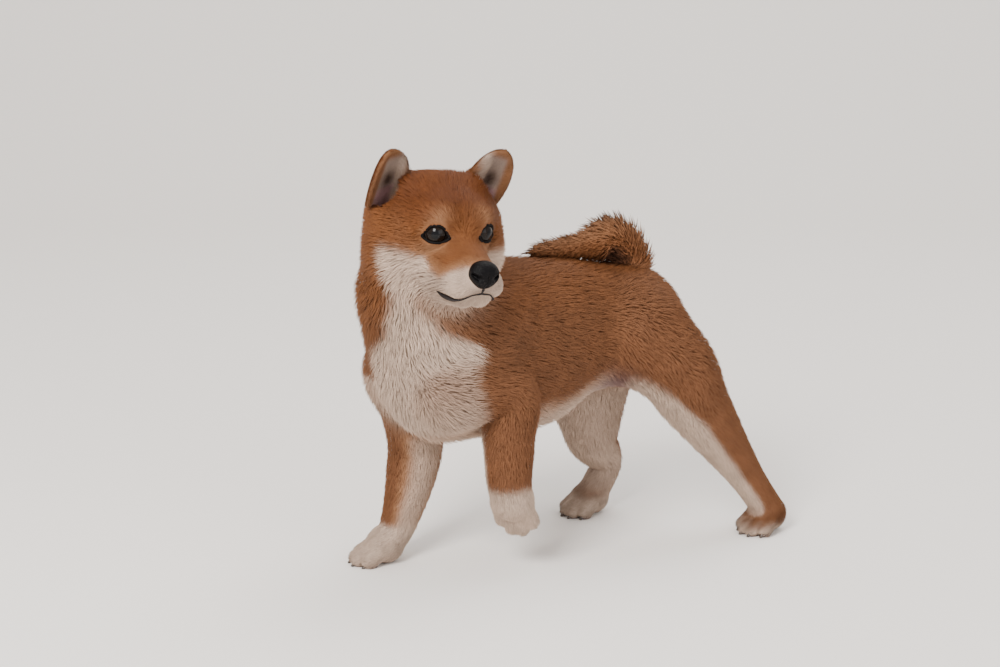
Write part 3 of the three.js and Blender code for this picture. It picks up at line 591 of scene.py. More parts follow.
def almond(wide, high):
    """About the distance to the almond's edge, negative inside it."""
    above = high - almond_line(wide)
    arc = 1 - np.abs(wide / (EYE_WIDTH / 2)) ** ALMOND_POWER
    return np.abs(above) - np.where(above > 0, LID_UP, LID_DOWN) * arc


def in_eye(m):
    """Across, up and out from the eyeball's middle, for a point in the head's frame with y positive."""
    q = m - EYE_MIDDLE
    return q @ EYE_ACROSS, q @ EYE_RISE, q @ EYE_OUT


def lid_rim():
    """A band carried round the almond: an oval section whose long side points out of the head."""
    around, sides = 72, 10
    t = np.linspace(0, 2 * math.pi, around, endpoint=False)
    wide = EYE_WIDTH / 2 * np.cos(t)
    arc = np.where(np.sin(t) > 0, LID_UP, -LID_DOWN) * (1 - np.abs(np.cos(t)) ** ALMOND_POWER)
    high = almond_line(wide) + arc
    least = LID_DEPTHS[0] + (LID_DEPTHS[1] - LID_DEPTHS[0]) * ramp(wide, -4, EYE_WIDTH / 2)
    out = np.sqrt(np.maximum((EYE_RADIUS + LID_ROOM) ** 2 - wide**2 - high**2, least**2))
    flat = np.column_stack([wide, high])
    along = unit(np.roll(flat, -1, 0) - np.roll(flat, 1, 0))
    outward = np.column_stack([along[:, 1], -along[:, 0], np.zeros(around)])
    s = np.linspace(0, 2 * math.pi, sides, endpoint=False)
    section = outward[:, None] * (np.cos(s) * LID_SECTION[0])[None, :, None]
    section = section + np.array([0, 0, 1]) * (np.sin(s) * LID_SECTION[1] - LID_SUNK)[None, :, None]
    local = np.column_stack([wide, high, out])[:, None] + section
    points = EYE_MIDDLE + local.reshape(-1, 3) @ np.stack([EYE_ACROSS, EYE_RISE, EYE_OUT])
    return points, halved(grid_faces(around, sides, (True, True)))


def grained(made, texture, values, tones=None, bump=None):
    """The same material with a fine texture: its colour runs between two tones, and its bump has a strength
    and a depth in metres."""
    material, tree, principled = made
    grain = tree.nodes.new(texture)
    for words, value in values.items():
        grain.inputs[words].default_value = value
    place = tree.nodes.new("ShaderNodeTexCoord")
    tree.links.new(place.outputs["Object"], grain.inputs["Vector"])
    if tones:
        tint = tree.nodes.new("ShaderNodeValToRGB")
        for element, tone in zip(tint.color_ramp.elements, tones):
            element.color = (*tone, 1)
        tree.links.new(grain.outputs[0], tint.inputs["Fac"])
        tree.links.new(tint.outputs["Color"], principled.inputs["Base Color"])
    if bump:
        raised = tree.nodes.new("ShaderNodeBump")
        raised.inputs["Strength"].default_value, raised.inputs["Distance"].default_value = bump
        tree.links.new(grain.outputs[0], raised.inputs["Height"])
        tree.links.new(raised.outputs["Normal"], principled.inputs["Normal"])
    return material


lid_leather = shader("lid_leather", (0.004, 0.003, 0.003), 0.6, specular_ior_level=0.08)
lid_leather = grained(lid_leather, "ShaderNodeTexNoise", {"Scale": 1400, "Detail": 3}, bump=(0.5, 0.0003))
for side_name, side in SIDES.items():
    lid = head_piece(f"lids_{side_name}", *lid_rim(), side)
    lid.data.materials.append(lid_leather)
    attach(lid, "root")

# Nose
# A broad pad of bare black leather, pebbled and moist, narrower below, with a comma of a nostril on each
# side and a groove down its middle that runs on to the lip.
NOSE_AT = np.array([73.0, 0.0, -16.5])
NOSE_HALF = np.array([8.6, 11.7, 10.3])
NOSE_POWER = 0.88  # under 1 squares the ball's outline
NOSE_TAPER = 0.22
NOSE_LEAN = 0.9
NOSTRIL = np.array([[85.0, 4.2, -17.6], [81.5, 7.6, -18.0], [77.0, 11.4, -15.2]])
NOSTRIL_RADII = [2.3, 2.1, 1.2]
NOSTRIL_DEPTH = 4.0
NOSTRIL_RIM = 0.35
NOSE_GROOVE = (1.1, 0.9)  # depth and half width


def near_line(m, points, radii):
    """How far points lie from a bent line, in its own radii there."""
    near = np.full(len(m), np.inf)
    for a, b, ra, rb in zip(points[:-1], points[1:], radii[:-1], radii[1:]):
        q = m - a
        t = np.clip(q @ (b - a) / ((b - a) @ (b - a)), 0, 1)
        near = np.minimum(near, np.linalg.norm(q - t[:, None] * (b - a), axis=1) / (ra + (rb - ra) * t))
    return near


def nose_shape(directions):
    """An egg-like pad: the ball's directions with their size evened out, drawn in below, with the nostrils
    pressed in by a bell round their line and the groove by one round the middle plane."""
    m = np.sign(directions) * np.abs(directions) ** NOSE_POWER * NOSE_HALF
    m[:, 1] *= 1 - NOSE_TAPER * ramp(-m[:, 2], 0, 11)
    m[:, 0] -= NOSE_LEAN * ramp(m[:, 2], 2, 11)
    m = m + NOSE_AT
    ahead_part = ramp(directions[:, 0], 0.0, 0.35)
    from_nostril = near_line(folded(m), NOSTRIL, NOSTRIL_RADII)
    m[:, 0] -= NOSTRIL_DEPTH * np.exp(-(from_nostril**3)) * ahead_part
    from_nostril = near_line(folded(m), NOSTRIL, NOSTRIL_RADII)
    m[:, 0] += NOSTRIL_RIM * np.exp(-((from_nostril - 1.7) ** 2) / 0.16) * ahead_part
    groove = NOSE_GROOVE[0] * np.exp(-((m[:, 1] / NOSE_GROOVE[1]) ** 2))
    m[:, 0] -= groove * ramp(-(m[:, 2] - NOSE_AT[2]), -5, 3) * ahead_part
    return m


nose_leather = shader("nose_leather", (0.003, 0.0026, 0.003), 0.36, specular_ior_level=0.08)
nose_leather = grained(nose_leather, "ShaderNodeTexVoronoi", {"Scale": 900}, bump=(0.7, 0.0005))
nose_directions, nose_faces = ball(112, 84)
nose = head_piece("nose_pad", nose_shape(nose_directions), nose_faces, SIDES["left"])
nose.data.materials.append(nose_leather)
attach(nose, "root")
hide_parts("nose")

# Mouth
# The mouth is closed. Its dark lips show as a thin line from corner to corner under the muzzle, with a short
# groove up to the nose. The line lies on the skin and stands out of it a little.
MOUTH = [  # x, y, z and radius
    (79, 0, -36.5, 0.7), (76, 8, -35.2, 0.5), (66, 14, -37.5, 0.8), (55, 17, -40, 1.9), (46, 19, -40.5, 1.7),
    (39, 22.5, -39.5, 0.4),
]
LIP_OUT = 0.4
GROOVE = [(83, 0, -24, 1.1), (81, 0, -30, 1.1), (79, 0, -36, 1.1)]


def slope_of(field, p, reach=0.5):
    """The field's slope, from differences to both sides along each axis."""
    steps = np.eye(3) * reach
    return np.stack([(field((p + s).astype(F)) - field((p - s).astype(F))) / (2 * reach) for s in steps], -1)


def snapped(field, p, rounds=3):
    """Points moved along the field's slope onto its zero level."""
    for _ in range(rounds):
        slope = slope_of(field, p)
        p = p - slope * (field(p.astype(F)) / np.maximum(dots(slope, slope), 0.2))[:, None]
    return p


def bare_skull(m):
    """Distance to the skin of the head, for points with y of either sign."""
    return skull_field(folded(m), 1)


def swept(points, radii, sides, flat=1.0):
    """A round section carried along a path and closed with a point at each end. Each ring stands square to
    the path; flat squeezes it across the second of its two directions."""
    along = unit(np.gradient(points, axis=0))
    first = unit(np.cross(along, np.where(np.abs(along[:, 2:]) < 0.9, [[0, 0, 1]], [[1, 0, 0]])))
    second = np.cross(along, first)
    t = np.linspace(0, 2 * math.pi, sides, endpoint=False)[None, :, None]
    ring = first[:, None] * np.cos(t) + second[:, None] * np.sin(t) * flat
    rings = points[:, None] + ring * np.asarray(radii)[:, None, None]
    return np.concatenate([rings.reshape(-1, 3), points[:1], points[-1:]]), capped(len(points), sides)


mouth_side = course(MOUTH, 8)
mouth_skin = snapped(bare_skull, mouth_side[:, :3])
mouth_path = np.concatenate([mouth_skin[::-1] * MIRROR, mouth_skin[1:]])
mouth_radii = np.concatenate([mouth_side[::-1, 3], mouth_side[1:, 3]])
groove = course(GROOVE, 6)
lip_leather = shader("lip_leather", (0.010, 0.007, 0.007), 0.5, specular_ior_level=0.25)
lip_leather = grained(lip_leather, "ShaderNodeTexNoise", {"Scale": 1100}, bump=(0.5, 0.0004))
for name, path, radii in (
    ("lips", mouth_path + unit(slope_of(bare_skull, mouth_path)) * LIP_OUT, mouth_radii),
    ("lip_groove", snapped(bare_skull, groove[:, :3]), groove[:, 3]),
):
    lips = head_piece(name, *swept(path, radii, 10), SIDES["left"])
    lips.data.materials.append(lip_leather)
    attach(lips, "root")

# The skin
# One sheet of soft hide over everything but eyes and nose. It branches into legs, ears and tail, which no
# grid of two parameters can do, so the distance is worked out on a cubic grid and its zero level is meshed.
SOLE_HEIGHT = 0.6
REACH = 30.0  # wider than every fillet, so a form further off than this adds nothing
HEAD_BOX = (HEAD_AT - 74, HEAD_AT + 80)
SKIN_STEP = 2.0
SKIN_LOW = (-262, -95, -4)
SKIN_HIGH = (156, 140, 350)
BLOCK = 8
CHUNK = 600  # blocks worked out at a time
LID_THICK = 1.5
SOCKET_DEEP = 1.2  # how far the opening goes in under the ball's surface
SOCKET_FLOOR = 4.0
EAR_CUP = np.array([1.0, -2.0, 1.5])  # up the ear, across and out
EAR_CUP_HALF = np.array([16.0, 12.0, 11.0])


def nearby(p, box, field):
    """The field for points within reach of a box, and the reach itself for all others."""
    low, high = box
    close = ((p > low - REACH) & (p < high + REACH)).all(-1)
    f = np.full(p.shape[:-1], REACH, F)
    f[close] = field(p[close])
    return f


def box_of(line, margin=0):
    """The box that holds a course with its radii."""
    return (line[:, :3] - line[:, 3:]).min(0) - margin, (line[:, :3] + line[:, 3:]).max(0) + margin


def body_field(p, bare, head):
    """Distance to the whole body: all forms run together, and flat where the soles meet the floor. The
    head's distance is a function of a point in its frame and of its mirror image with y positive."""
    f = join(trunk_field(p, bare), nearby(p, box_of(neck_line), lambda q: neck_field(q, bare)), NECK_FILLET)
    f = join(f, nearby(p, HEAD_BOX, lambda q: head(to_head(q), folded(to_head(q)))), HEAD_FILLET)
    for leg in LEGS.values():
        box = box_of(leg["lines"][0], PAW_ROOM)
        f = join(f, nearby(p, box, lambda q, leg=leg: leg_field(q, leg, bare)), leg["fillet"])
    f = join(f, nearby(p, box_of(TAIL_LINES[0]), lambda q: tail_field(q, bare)), TAIL_FILLET)
    return np.maximum(f, SOLE_HEIGHT * bare - p[..., 2])


def surface_net(field, low, high, step):
    """Points and quads of a field's zero level. Only blocks of the grid near the level are worked out. Each
    cell that the level crosses gets one point, the mean of its crossings, and each crossed edge one quad."""
    low = np.asarray(low, float)
    size = step * BLOCK
    blocks = np.ceil((np.asarray(high, float) - low) / size).astype(int)
    index = np.stack(np.meshgrid(*[np.arange(k) for k in blocks], indexing="ij"), -1).reshape(-1, 3)
    middle = field((low + (index + 0.5) * size).astype(F))
    keep = index[np.abs(middle) < size * 1.2 + 2]
    corner = np.stack(np.meshgrid(*[np.arange(BLOCK + 1)] * 3, indexing="ij"), -1)
    corner = keep[:, None, None, None] * BLOCK + corner
    value = np.empty(corner.shape[:-1], F)
    for i in range(0, len(keep), CHUNK):
        points = (low + corner[i : i + CHUNK] * step).astype(F)
        value[i : i + CHUNK] = field(points.reshape(-1, 3)).reshape(points.shape[:-1])
    inside = value < 0
    offsets = np.array([(x, y, z) for x in (0, 1) for y in (0, 1) for z in (0, 1)])
    corner_in = [inside[:, x : BLOCK + x, y : BLOCK + y, z : BLOCK + z] for x, y, z in offsets]
    count = np.sum(corner_in, axis=0)
    b, i, j, k = np.nonzero((count > 0) & (count < 8))
    cell = keep[b] * BLOCK + np.stack([i, j, k], -1)
    at = np.stack([value[b, i + x, j + y, k + z] for x, y, z in offsets], -1)
    total = np.zeros((len(cell), 3))
    crossings = np.zeros(len(cell))
    pairs = [(a, c) for a in range(8) for c in range(a + 1, 8) if np.abs(offsets[a] - offsets[c]).sum() == 1]
    for a, c in pairs:
        crossed = (at[:, a] < 0) != (at[:, c] < 0)
        t = np.where(crossed, at[:, a] / np.where(crossed, at[:, a] - at[:, c], 1), 0)
        total += np.where(crossed[:, None], offsets[a] + t[:, None] * (offsets[c] - offsets[a]), 0)
        crossings += crossed
    spans = blocks * BLOCK + 2

    def key(ijk):
        """One number for each cell."""
        return (ijk[..., 0].astype(np.int64) * spans[1] + ijk[..., 1]) * spans[2] + ijk[..., 2]

    order = np.argsort(key(cell))
    keys = key(cell)[order]
    quads = []
    for axis in range(3):
        here = inside[:, :BLOCK, :BLOCK, :BLOCK]
        there = np.roll(inside, -1, axis + 1)[:, :BLOCK, :BLOCK, :BLOCK]
        b, i, j, k = np.nonzero(here != there)
        base = keep[b] * BLOCK + np.stack([i, j, k], -1)
        flip = here[b, i, j, k] ^ (axis == 1)
        u, v = (np.eye(3, dtype=int)[a] for a in range(3) if a != axis)
        ring = [key(base - u - v), key(base - v), key(base), key(base - u)]
        found = [np.clip(np.searchsorted(keys, r), 0, len(keys) - 1) for r in ring]
        real = np.all([keys[w] == r for w, r in zip(found, ring)], axis=0)
        quad = np.stack([order[w] for w in found], -1)
        quad[~flip] = quad[~flip][:, ::-1]
        quads.append(quad[real])
    return low + (cell + total / crossings[:, None]) * step, np.concatenate(quads)


mouth_box = (mouth_path.min(0) - 4, mouth_path.max(0) + 4)
mouth_rods = np.column_stack([mouth_path, mouth_radii + 0.3])[::2]


def face_skin(m, mirrored):
    """Distance to the skin of the head: the ears are hollowed, the lids bulge over the eyeballs, the almonds
    are open down to just under the balls, and the line of the mouth is pressed in."""
    local = (np.stack(ear_place(mirrored), -1) - EAR_CUP) / EAR_CUP_HALF
    cup = (np.sqrt(dots(local, local)) - 1) * EAR_CUP_HALF.min()
    f = join(-join(-skull_field(mirrored, 1), cup, EAR_FILLET), ear_field(mirrored, 1), EAR_FILLET)
    wide, high, out = in_eye(mirrored)
    away = np.sqrt(wide**2 + high**2 + out**2)
    f = join(f, away - EYE_RADIUS - LID_THICK, 4)
    opening = np.maximum(np.maximum(almond(wide, high), EYE_RADIUS - SOCKET_DEEP - away), SOCKET_FLOOR - out)
    f = np.maximum(f, -opening)
    near = ((m > mouth_box[0]) & (m < mouth_box[1])).all(-1)
    if near.any():
        f[near] = -join(-f[near], tube(m[near], mouth_rods), 1.5)
    return f


def skin_field(p):
    """Distance to the skin."""
    return body_field(p, 1, face_skin)


def outline_field(p):
    """Distance to the outline over the coat."""
    return body_field(p, 0, lambda _, m: join(skull_field(m, 0), ear_field(m, 0), EAR_FILLET))


skin_points, skin_quads = surface_net(skin_field, SKIN_LOW, SKIN_HIGH, SKIN_STEP)
skin_points = snapped(skin_field, skin_points, 1)
skin_normals = unit(slope_of(skin_field, skin_points))
FLESH = [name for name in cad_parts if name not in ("nose", "eye_left", "eye_right")]

# Lie and depth of the coat
# Fur points from the nose back over the head, down the neck, back along the body, down the legs and out to
# the tip of the tail. How deep it lies is the room between the skin and the outline over the coat.
COAT_REACH = 4.0  # how far one part's lie runs into the next, in millimetres
COAT_DEPTHS = (0.8, 12)
TRUNK_LIE = (-1, 0, -0.35)
NECK_LIE = (-0.25, 0, -0.2)
HEAD_LIE = (-1, 0.25, -0.12)
CUP_DEPTH = 2.0  # the most in the hollow of the ear
TAIL_DEPTH = 5.5  # the least on the tail
EAR_HAIR_DEPTH = 3.2
EAR_HAIR_LIE = EAR_UP * 0.75 + EAR_SIDE * 0.65


def along_line(p, line):
    """The direction of a course at the point of it that is nearest to p."""
    best = np.full(len(p), np.inf)
    found = np.zeros((len(p), 3))
    for f, a, b in zip(rods(p, line), line[:-1], line[1:]):
        nearer = f < best
        best[nearer] = f[nearer]
        found[nearer] = unit(b[:3] - a[:3])
    return found


def head_direction(v, sides):
    """A direction of the head's frame, with its y turned to the side that each point is on."""
    turned_out = np.broadcast_to(v, (len(sides), 3)).copy()
    turned_out[:, 1] *= sides
    return turned_out @ HEAD_AXES


def flattened(lie, normals):
    """Directions with what sticks out of the skin taken off."""
    return unit(lie - normals * dots(lie, normals)[:, None])


skin_head = to_head(skin_points)
skin_sides = np.where(skin_head[:, 1] < 0, -1.0, 1.0)
skin_mirrored = folded(skin_head)
parts = {
    "trunk": (trunk_field(skin_points, 1), np.broadcast_to(TRUNK_LIE, skin_points.shape)),
    "neck": (neck_field(skin_points, 1), -along_line(skin_points, neck_line) + np.array(NECK_LIE)),
    "head": (skull_field(skin_mirrored, 1), head_direction(HEAD_LIE, skin_sides)),
    "ear": (ear_field(skin_mirrored, 1), head_direction(EAR_UP, skin_sides)),
    "tail": (tail_field(skin_points, 1), along_line(skin_points, TAIL_LINES[1])),
}
for name, leg in LEGS.items():
    parts[name] = (tube(skin_points, leg["lines"][1]), along_line(skin_points, leg["lines"][1]))
    parts[name.replace("leg", "paw")] = (
        paw_field(skin_points, leg["paw"], 1),
        np.broadcast_to(paw_frame(leg["paw"])[0], skin_points.shape),
    )
PART_NAMES = list(parts)
gap = np.stack([parts[name][0] for name in PART_NAMES])
weight = np.exp(-(gap - gap.min(0)) / COAT_REACH)
weight /= weight.sum(0)
share = dict(zip(PART_NAMES, weight))
head_share = share["head"] + share["ear"]
skin_lie = flattened(sum(w[:, None] * parts[name][1] for w, name in zip(weight, PART_NAMES)), skin_normals)
skin_depth = np.clip(-outline_field(skin_points.astype(F)), *COAT_DEPTHS)

normals_in_head = skin_normals @ HEAD_AXES.T
normals_in_head[:, 1] *= skin_sides
up_ear, across_ear, out_of_ear = ear_place(skin_mirrored)
in_cup = np.stack([up_ear, across_ear, out_of_ear], -1) - EAR_CUP
in_cup = np.linalg.norm(in_cup / (EAR_CUP_HALF + 1.5), axis=1) < 1
skin_depth[in_cup] = np.minimum(skin_depth[in_cup], CUP_DEPTH)
ear_hair = ramp(-across_ear, 5, 11) * ramp(dots(normals_in_head, EAR_FACE), 0.3, 0.7) * share["ear"]
ear_hair *= ramp(up_ear, EAR_LENGTH * 0.9, EAR_LENGTH * 0.6)
skin_depth = skin_depth + (EAR_HAIR_DEPTH - skin_depth) * ear_hair
skin_depth = np.maximum(skin_depth, TAIL_DEPTH * share["tail"])
hair_lie = flattened(head_direction(EAR_HAIR_LIE, skin_sides), skin_normals)
skin_lie = unit(skin_lie + (hair_lie - skin_lie) * ear_hair[:, None])

# Markings
# A red coat, darker on the crown, with cream on the cheeks, throat, chest, belly, the insides of the legs
# and the paws. Each patch is a soft mask; skin and coat read the same colours.
RED = (0.172, 0.062, 0.021)
CROWN = (0.113, 0.034, 0.009)
FLANK = (0.155, 0.063, 0.027)
LEG_RED = (0.175, 0.072, 0.032)
TAN = (0.33, 0.165, 0.085)
CREAM = (0.50, 0.37, 0.288)
DARK = (0.032, 0.014, 0.009)
LIP_GREY = (0.16, 0.125, 0.11)
GROIN = (0.16, 0.10, 0.10)
EAR_PINK = (0.34, 0.19, 0.19)
EAR_GREY = (0.30, 0.22, 0.18)
CHEST_START_LEVELS = [118, 146, 160, 166, 189, 209, 227, 240]  # heights
CHEST_START = [-50, -45, -24, -6, 0, 12, 18, 20]  # degrees round the chest where the cream starts
CHEST_END_LEVELS = [120, 163, 193, 203, 212, 225]
CHEST_END = [64, 51, 54, 42, 34, 30]  # and where it ends
BELLY_PLACES = [-112, -92, -80, -65, -42, -10, 40]  # along the trunk
BELLY_LEVELS = [130, 146, 156, 150, 142, 136, 128]  # the height where the cream belly starts
CREAM_FACE_PLACES = [5, 20, 30, 36, 48, 56, 65, 70]  # from the head's middle to the nose
CREAM_FACE_LEVELS = [-10, -11, -12.5, -22, -26, -21, -15, -11]  # the cream's top edge
GROIN_SPOT = ((-86, 34, 132), (256, 400, 256))  # the middle of a spot, and its spread squared
BROW_SPOT = ((37, 15, 17), (90, 46, 30))
EYE_SPOT = ((37, 24, -7), (110, 90, 12))
TEMPLE_SPOT = ((0, 33, 20), (np.inf, 90, 120))
LIP_SPOT = ((80, 0, -31), (60, 70, 26))


def waves(p, size, seed):
    """Soft noise between about -1 and 1: a sum of plane waves in drawn directions, each about size long."""
    rng = np.random.default_rng(seed)
    heading = unit(rng.normal(size=(9, 3))) * (2 * math.pi / size) * rng.uniform(0.6, 1.5, (9, 1))
    return np.sin(p @ heading.T + rng.uniform(0, 2 * math.pi, 9)).sum(-1) / 4.2


def spot(p, middle, spread):
    """A bell round a point: e to the power of minus the sum of the squared offsets over their spreads."""
    return np.exp(-((p - np.array(middle)) ** 2 / np.array(spread)).sum(-1))


def body_layers(p, n, m, wander):
    """Colours and masks of the trunk and the legs, in the order in which they are laid on."""
    yield RED, ramp(p[:, 2] + wander, 190, 235) * 0.6
    yield LEG_RED, sum(share[name] for name in LEGS)
    yield RED, head_share
    yield CROWN, head_share * ramp(m[:, 2], 4, 26)
    round_chest = np.degrees(np.arctan2(p[:, 1], p[:, 0] - 20)) + wander * 0.6
    first = np.interp(p[:, 2], CHEST_START_LEVELS, CHEST_START)
    last = np.interp(p[:, 2], CHEST_END_LEVELS, CHEST_END)
    chest = ramp(round_chest, first - 4, first + 4) * ramp(round_chest, last + 4, last - 4)
    yield CREAM, chest * ((share["trunk"] + share["neck"]) * ramp(p[:, 2], 262, 240))
    under = np.interp(p[:, 0], BELLY_PLACES, BELLY_LEVELS)
    belly = share["trunk"] * ramp(p[:, 2] + wander, under + 1, under - 21)
    yield TAN, np.clip(belly * 2.5, 0, 1) * 0.5
    yield CREAM, belly * 0.92
    yield GROIN, np.clip(spot(p, *GROIN_SPOT) * 1.4, 0, 0.8)
    yield TAN, share["foreleg_right"] * ramp(n[:, 1], 0.35, 0.75) * 0.8
    inner = {
        "foreleg_left": ramp(-n[:, 1], 0.1, 0.5),
        "foreleg_right": ramp(n[:, 1] + 0.008 * wander, 0.6, 1.0) * 0.8,
        "hindleg_left": ramp(n @ unit((0.8, -0.2, -0.55)) - 0.42 * ramp(p[:, 2], 100, 148), 0.22, 0.5),
        "hindleg_right": ramp(n @ unit((0.8, 0.6, 0)), -0.3, 0.2) * 0.85,
    }
    for name, mask in inner.items():
        yield CREAM, mask * share[name]
    for name, leg in LEGS.items():
        near = share[name.replace("leg", "paw")] + share[name]
        yield CREAM, near * ramp(p[:, 2] + wander * 0.6, leg["ankle"] + 5, leg["ankle"] - 5)


def face_layers(p, m, wander):
    """Colours and masks of the face."""
    face_top = np.interp(m[:, 0], CREAM_FACE_PLACES, CREAM_FACE_LEVELS)
    rear = ramp(m[:, 0] + wander * 0.7, 2, 12)
    cheek = ramp(m[:, 2] + wander * 0.5, face_top + 3.5, face_top - 3.5) * rear
    yield TAN, head_share * rear * 0.75 * ramp(m[:, 2], face_top + 13, face_top + 2) * ramp(m[:, 0], 20, 34)
    yield CREAM, (head_share + share["neck"] * ramp(p[:, 2], 236, 246)) * cheek
    wide, high, _ = in_eye(m)
    ring = np.exp(-(((almond(wide, high) - 3.5) / 2.6) ** 2)) * ramp(m[:, 0], 22, 27)
    pale = spot(m, *BROW_SPOT) * 0.5 + spot(m, *EYE_SPOT) * 0.7 + ring * 0.45
    yield TAN, head_share * np.clip(pale, 0, 0.95)
    yield CROWN, head_share * spot(m, *TEMPLE_SPOT) * 0.5
    yield LIP_GREY, np.clip(head_share * spot(m, *LIP_SPOT) * 1.1, 0, 0.8)


def ear_and_tail_layers(p, n, m, nm):
    """Colours and masks of the ears, a dark hollow in a cup of grey, pink and cream, and of the tail, whose
    curl is darker hair with painted shade inside it.
    """
    up, side, out = ear_place(m)
    rise = up / EAR_LENGTH
    facing = nm @ EAR_FACE
    rim = np.minimum(EAR_OUTER - 5 - 6 * rise - side, side + EAR_INNER - 3) / 4
    hollowed = np.linalg.norm((np.stack([up, side, out], -1) - EAR_CUP) / (EAR_CUP_HALF + 1), axis=1)
    near_ear = np.maximum(share["ear"], ramp(hollowed, 1.1, 0.95) * head_share)
    cup = near_ear * ramp(facing, 0.1, 0.5) * ramp(rim, 0, 1) * ramp(rise, 0.92, 0.74)
    yield TAN, share["ear"] * ramp(facing, -0.2, 0.4) * 0.5
    yield EAR_GREY, cup
    yield EAR_PINK, cup * ramp(rise, 0.2, 0.04) * ramp(side, -12, -8)
    yield CREAM, cup * ramp(side, -6, -12) * 0.6
    hollow = np.exp(-(((rise - 0.3) / 0.24) ** 2 + ((side + 1.0) / 6.5) ** 2) * 1.2)
    yield DARK, np.clip(cup * hollow * (1.05 + 0.15 * waves(p, 3, 15)), 0, 0.95)
    yield TAN, share["tail"] * ramp(n[:, 2], -0.1, 0.7) * 0.35
    # Inside the tail's curl the hair is darker, and it is deepened further with painted shade.
    curl_dark_hair_and_shade = ramp(-n[:, 2] * 0.8 + n[:, 0] * 0.6, 0.2, 0.7) * ramp(p[:, 0], -92, -108)
    yield DARK, share["tail"] * curl_dark_hair_and_shade * 0.9


skin_wander = waves(skin_points, 22, 5) * 2.2 + waves(skin_points, 8, 6) * 1.2
skin_colour = np.broadcast_to(FLANK, skin_points.shape).copy()
for layers in (
    body_layers(skin_points, skin_normals, skin_mirrored, skin_wander),
    face_layers(skin_points, skin_mirrored, skin_wander),
    ear_and_tail_layers(skin_points, skin_normals, skin_mirrored, normals_in_head),
):
    for tone, mask in layers:
        skin_colour = skin_colour + (np.asarray(tone) - skin_colour) * mask[:, None]
skin_shade = 1 + 0.07 * waves(skin_points, 30, 11) + 0.06 * waves(skin_points, 11, 12)
skin_colour = np.clip(skin_colour * skin_shade[:, None], 0.01, 0.9)

skin = plain_mesh("skin", to_part(skin_points), skin_quads)
# The skin is coloured at 0.8 of the markings' brightness: painted shade, for the shade that the fur over it
# casts.
put_colours(skin, skin_colour * 0.8)
skin.data.materials.append(coloured("hide", 0.75, specular_ior_level=0.1))
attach(skin, "root")
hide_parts(*FLESH)

# Coat
# Short plush fur in thousands of fine pointed tufts, each a thin bent spindle rooted under the skin and
# leaning along the lie. Neighbours draw together at their tips, and each tuft is one shade of the markings,
# darkened towards its root with painted shade.
TUFT_TOTAL = 245000
TAIL_MORE = 2.2  # how much denser the brush of the tail is than the rest
BRUSH_WIDTH = 0.4  # and how much wider its tufts
WISPS = 0.3  # the share of its tufts that stand out past the others
LONGEST_PIECE = 32000  # tufts in one piece
SOFTNESS = 0.6  # how far the fur's shading follows the skin under it
ROOT_SUNK = 0.7
BARE_ROUND_EYE = 0.8
BARE_ROUND_NOSE = 0.6
FAR = 99.0
SHORT_ROUND_FACE = 7  # the fur is shorter within this of a bare place
SHORT_COAT = 4.6  # under this depth the fur bends less and its clumps are smaller
CLUMP_SIZES = (8.0, 3.5)
CLUMP_PULL = (0.14, 0.08)
CLUMP_REACH = 6
CLUMP_TABLE = np.random.default_rng(21).random((8192, 4))
CLUMP_PRIMES = np.array([73856093, 19349663, 83492791])
HEIGHTS = (0.74, 1.06)  # the least and most of each, as shares of its plain value
WISP_HEIGHTS = (0.2, 0.9)
REACHES = (0.8, 1.15)
WIDTHS = (0.75, 1.25)
MIDDLE = (0.42, 0.68, 0.3)  # the bend's place: shares of the tip's way along, out and to the clump
SWING = (0.15, 0.26, 0.16)  # each tuft's own turn, and that of long and of short waves
# Tones along each tuft: the darker root is painted shade of the coat round it, and the tip is a little
# lighter.
ROOT_SHADOWED_TONES = (0.86, 0.97, 1.06)  # at the root, in the middle and at the tip
DARK_TIPS = (0.2, 0.84)  # the share of the tufts with a darker tip, and its shade
PATCH = 0.003
UNWRAP_EDGE = 0.02  # left free round the unwrap
TUFT_FACES = np.array([[0, 3, 1], [0, 2, 3], [0, 1, 2], [4, 1, 3], [4, 3, 2], [4, 2, 1]])
TUFT_PATCH = np.array([(0.5, 0), (0, 0.5), (1, 0.5), (0.5, 0.6), (0.5, 1)]) * PATCH


def tuft_reach(depth):
    """How far a tuft runs along the skin for the height that it stands: flatter where the coat is short."""
    return depth * (1.3 + 1.0 * ramp(depth, 6, 2))


def tuft_width(length):
    """A tuft's width."""
    return 0.16 + 0.042 * length


triangles = halved(skin_quads)
corners = skin_points[triangles]
area = np.linalg.norm(np.cross(corners[:, 1] - corners[:, 0], corners[:, 2] - corners[:, 0]), axis=1) / 2
depth = skin_depth[triangles].mean(1)
length = np.hypot(depth, tuft_reach(depth))
wanted = area * (1 + TAIL_MORE * share["tail"][triangles].mean(1)) / (length * tuft_width(length))
wanted *= TUFT_TOTAL / wanted.sum()
draw = np.random.default_rng(7)
running = np.cumsum(wanted)
picks = np.searchsorted(running, np.arange(int(running[-1])) + draw.random(int(running[-1])))
corner_ids = triangles[np.clip(picks, 0, len(triangles) - 1)]
mix = draw.random((len(picks), 2))
over = mix.sum(1) > 1
mix[over] = 1 - mix[over]
mix = np.column_stack([1 - mix.sum(1), mix])


def at_roots(values):
    """Values of the skin's points at the tufts' roots."""
    weights = mix if values.ndim == 1 else mix[..., None]
    return (values[corner_ids] * weights).sum(1)


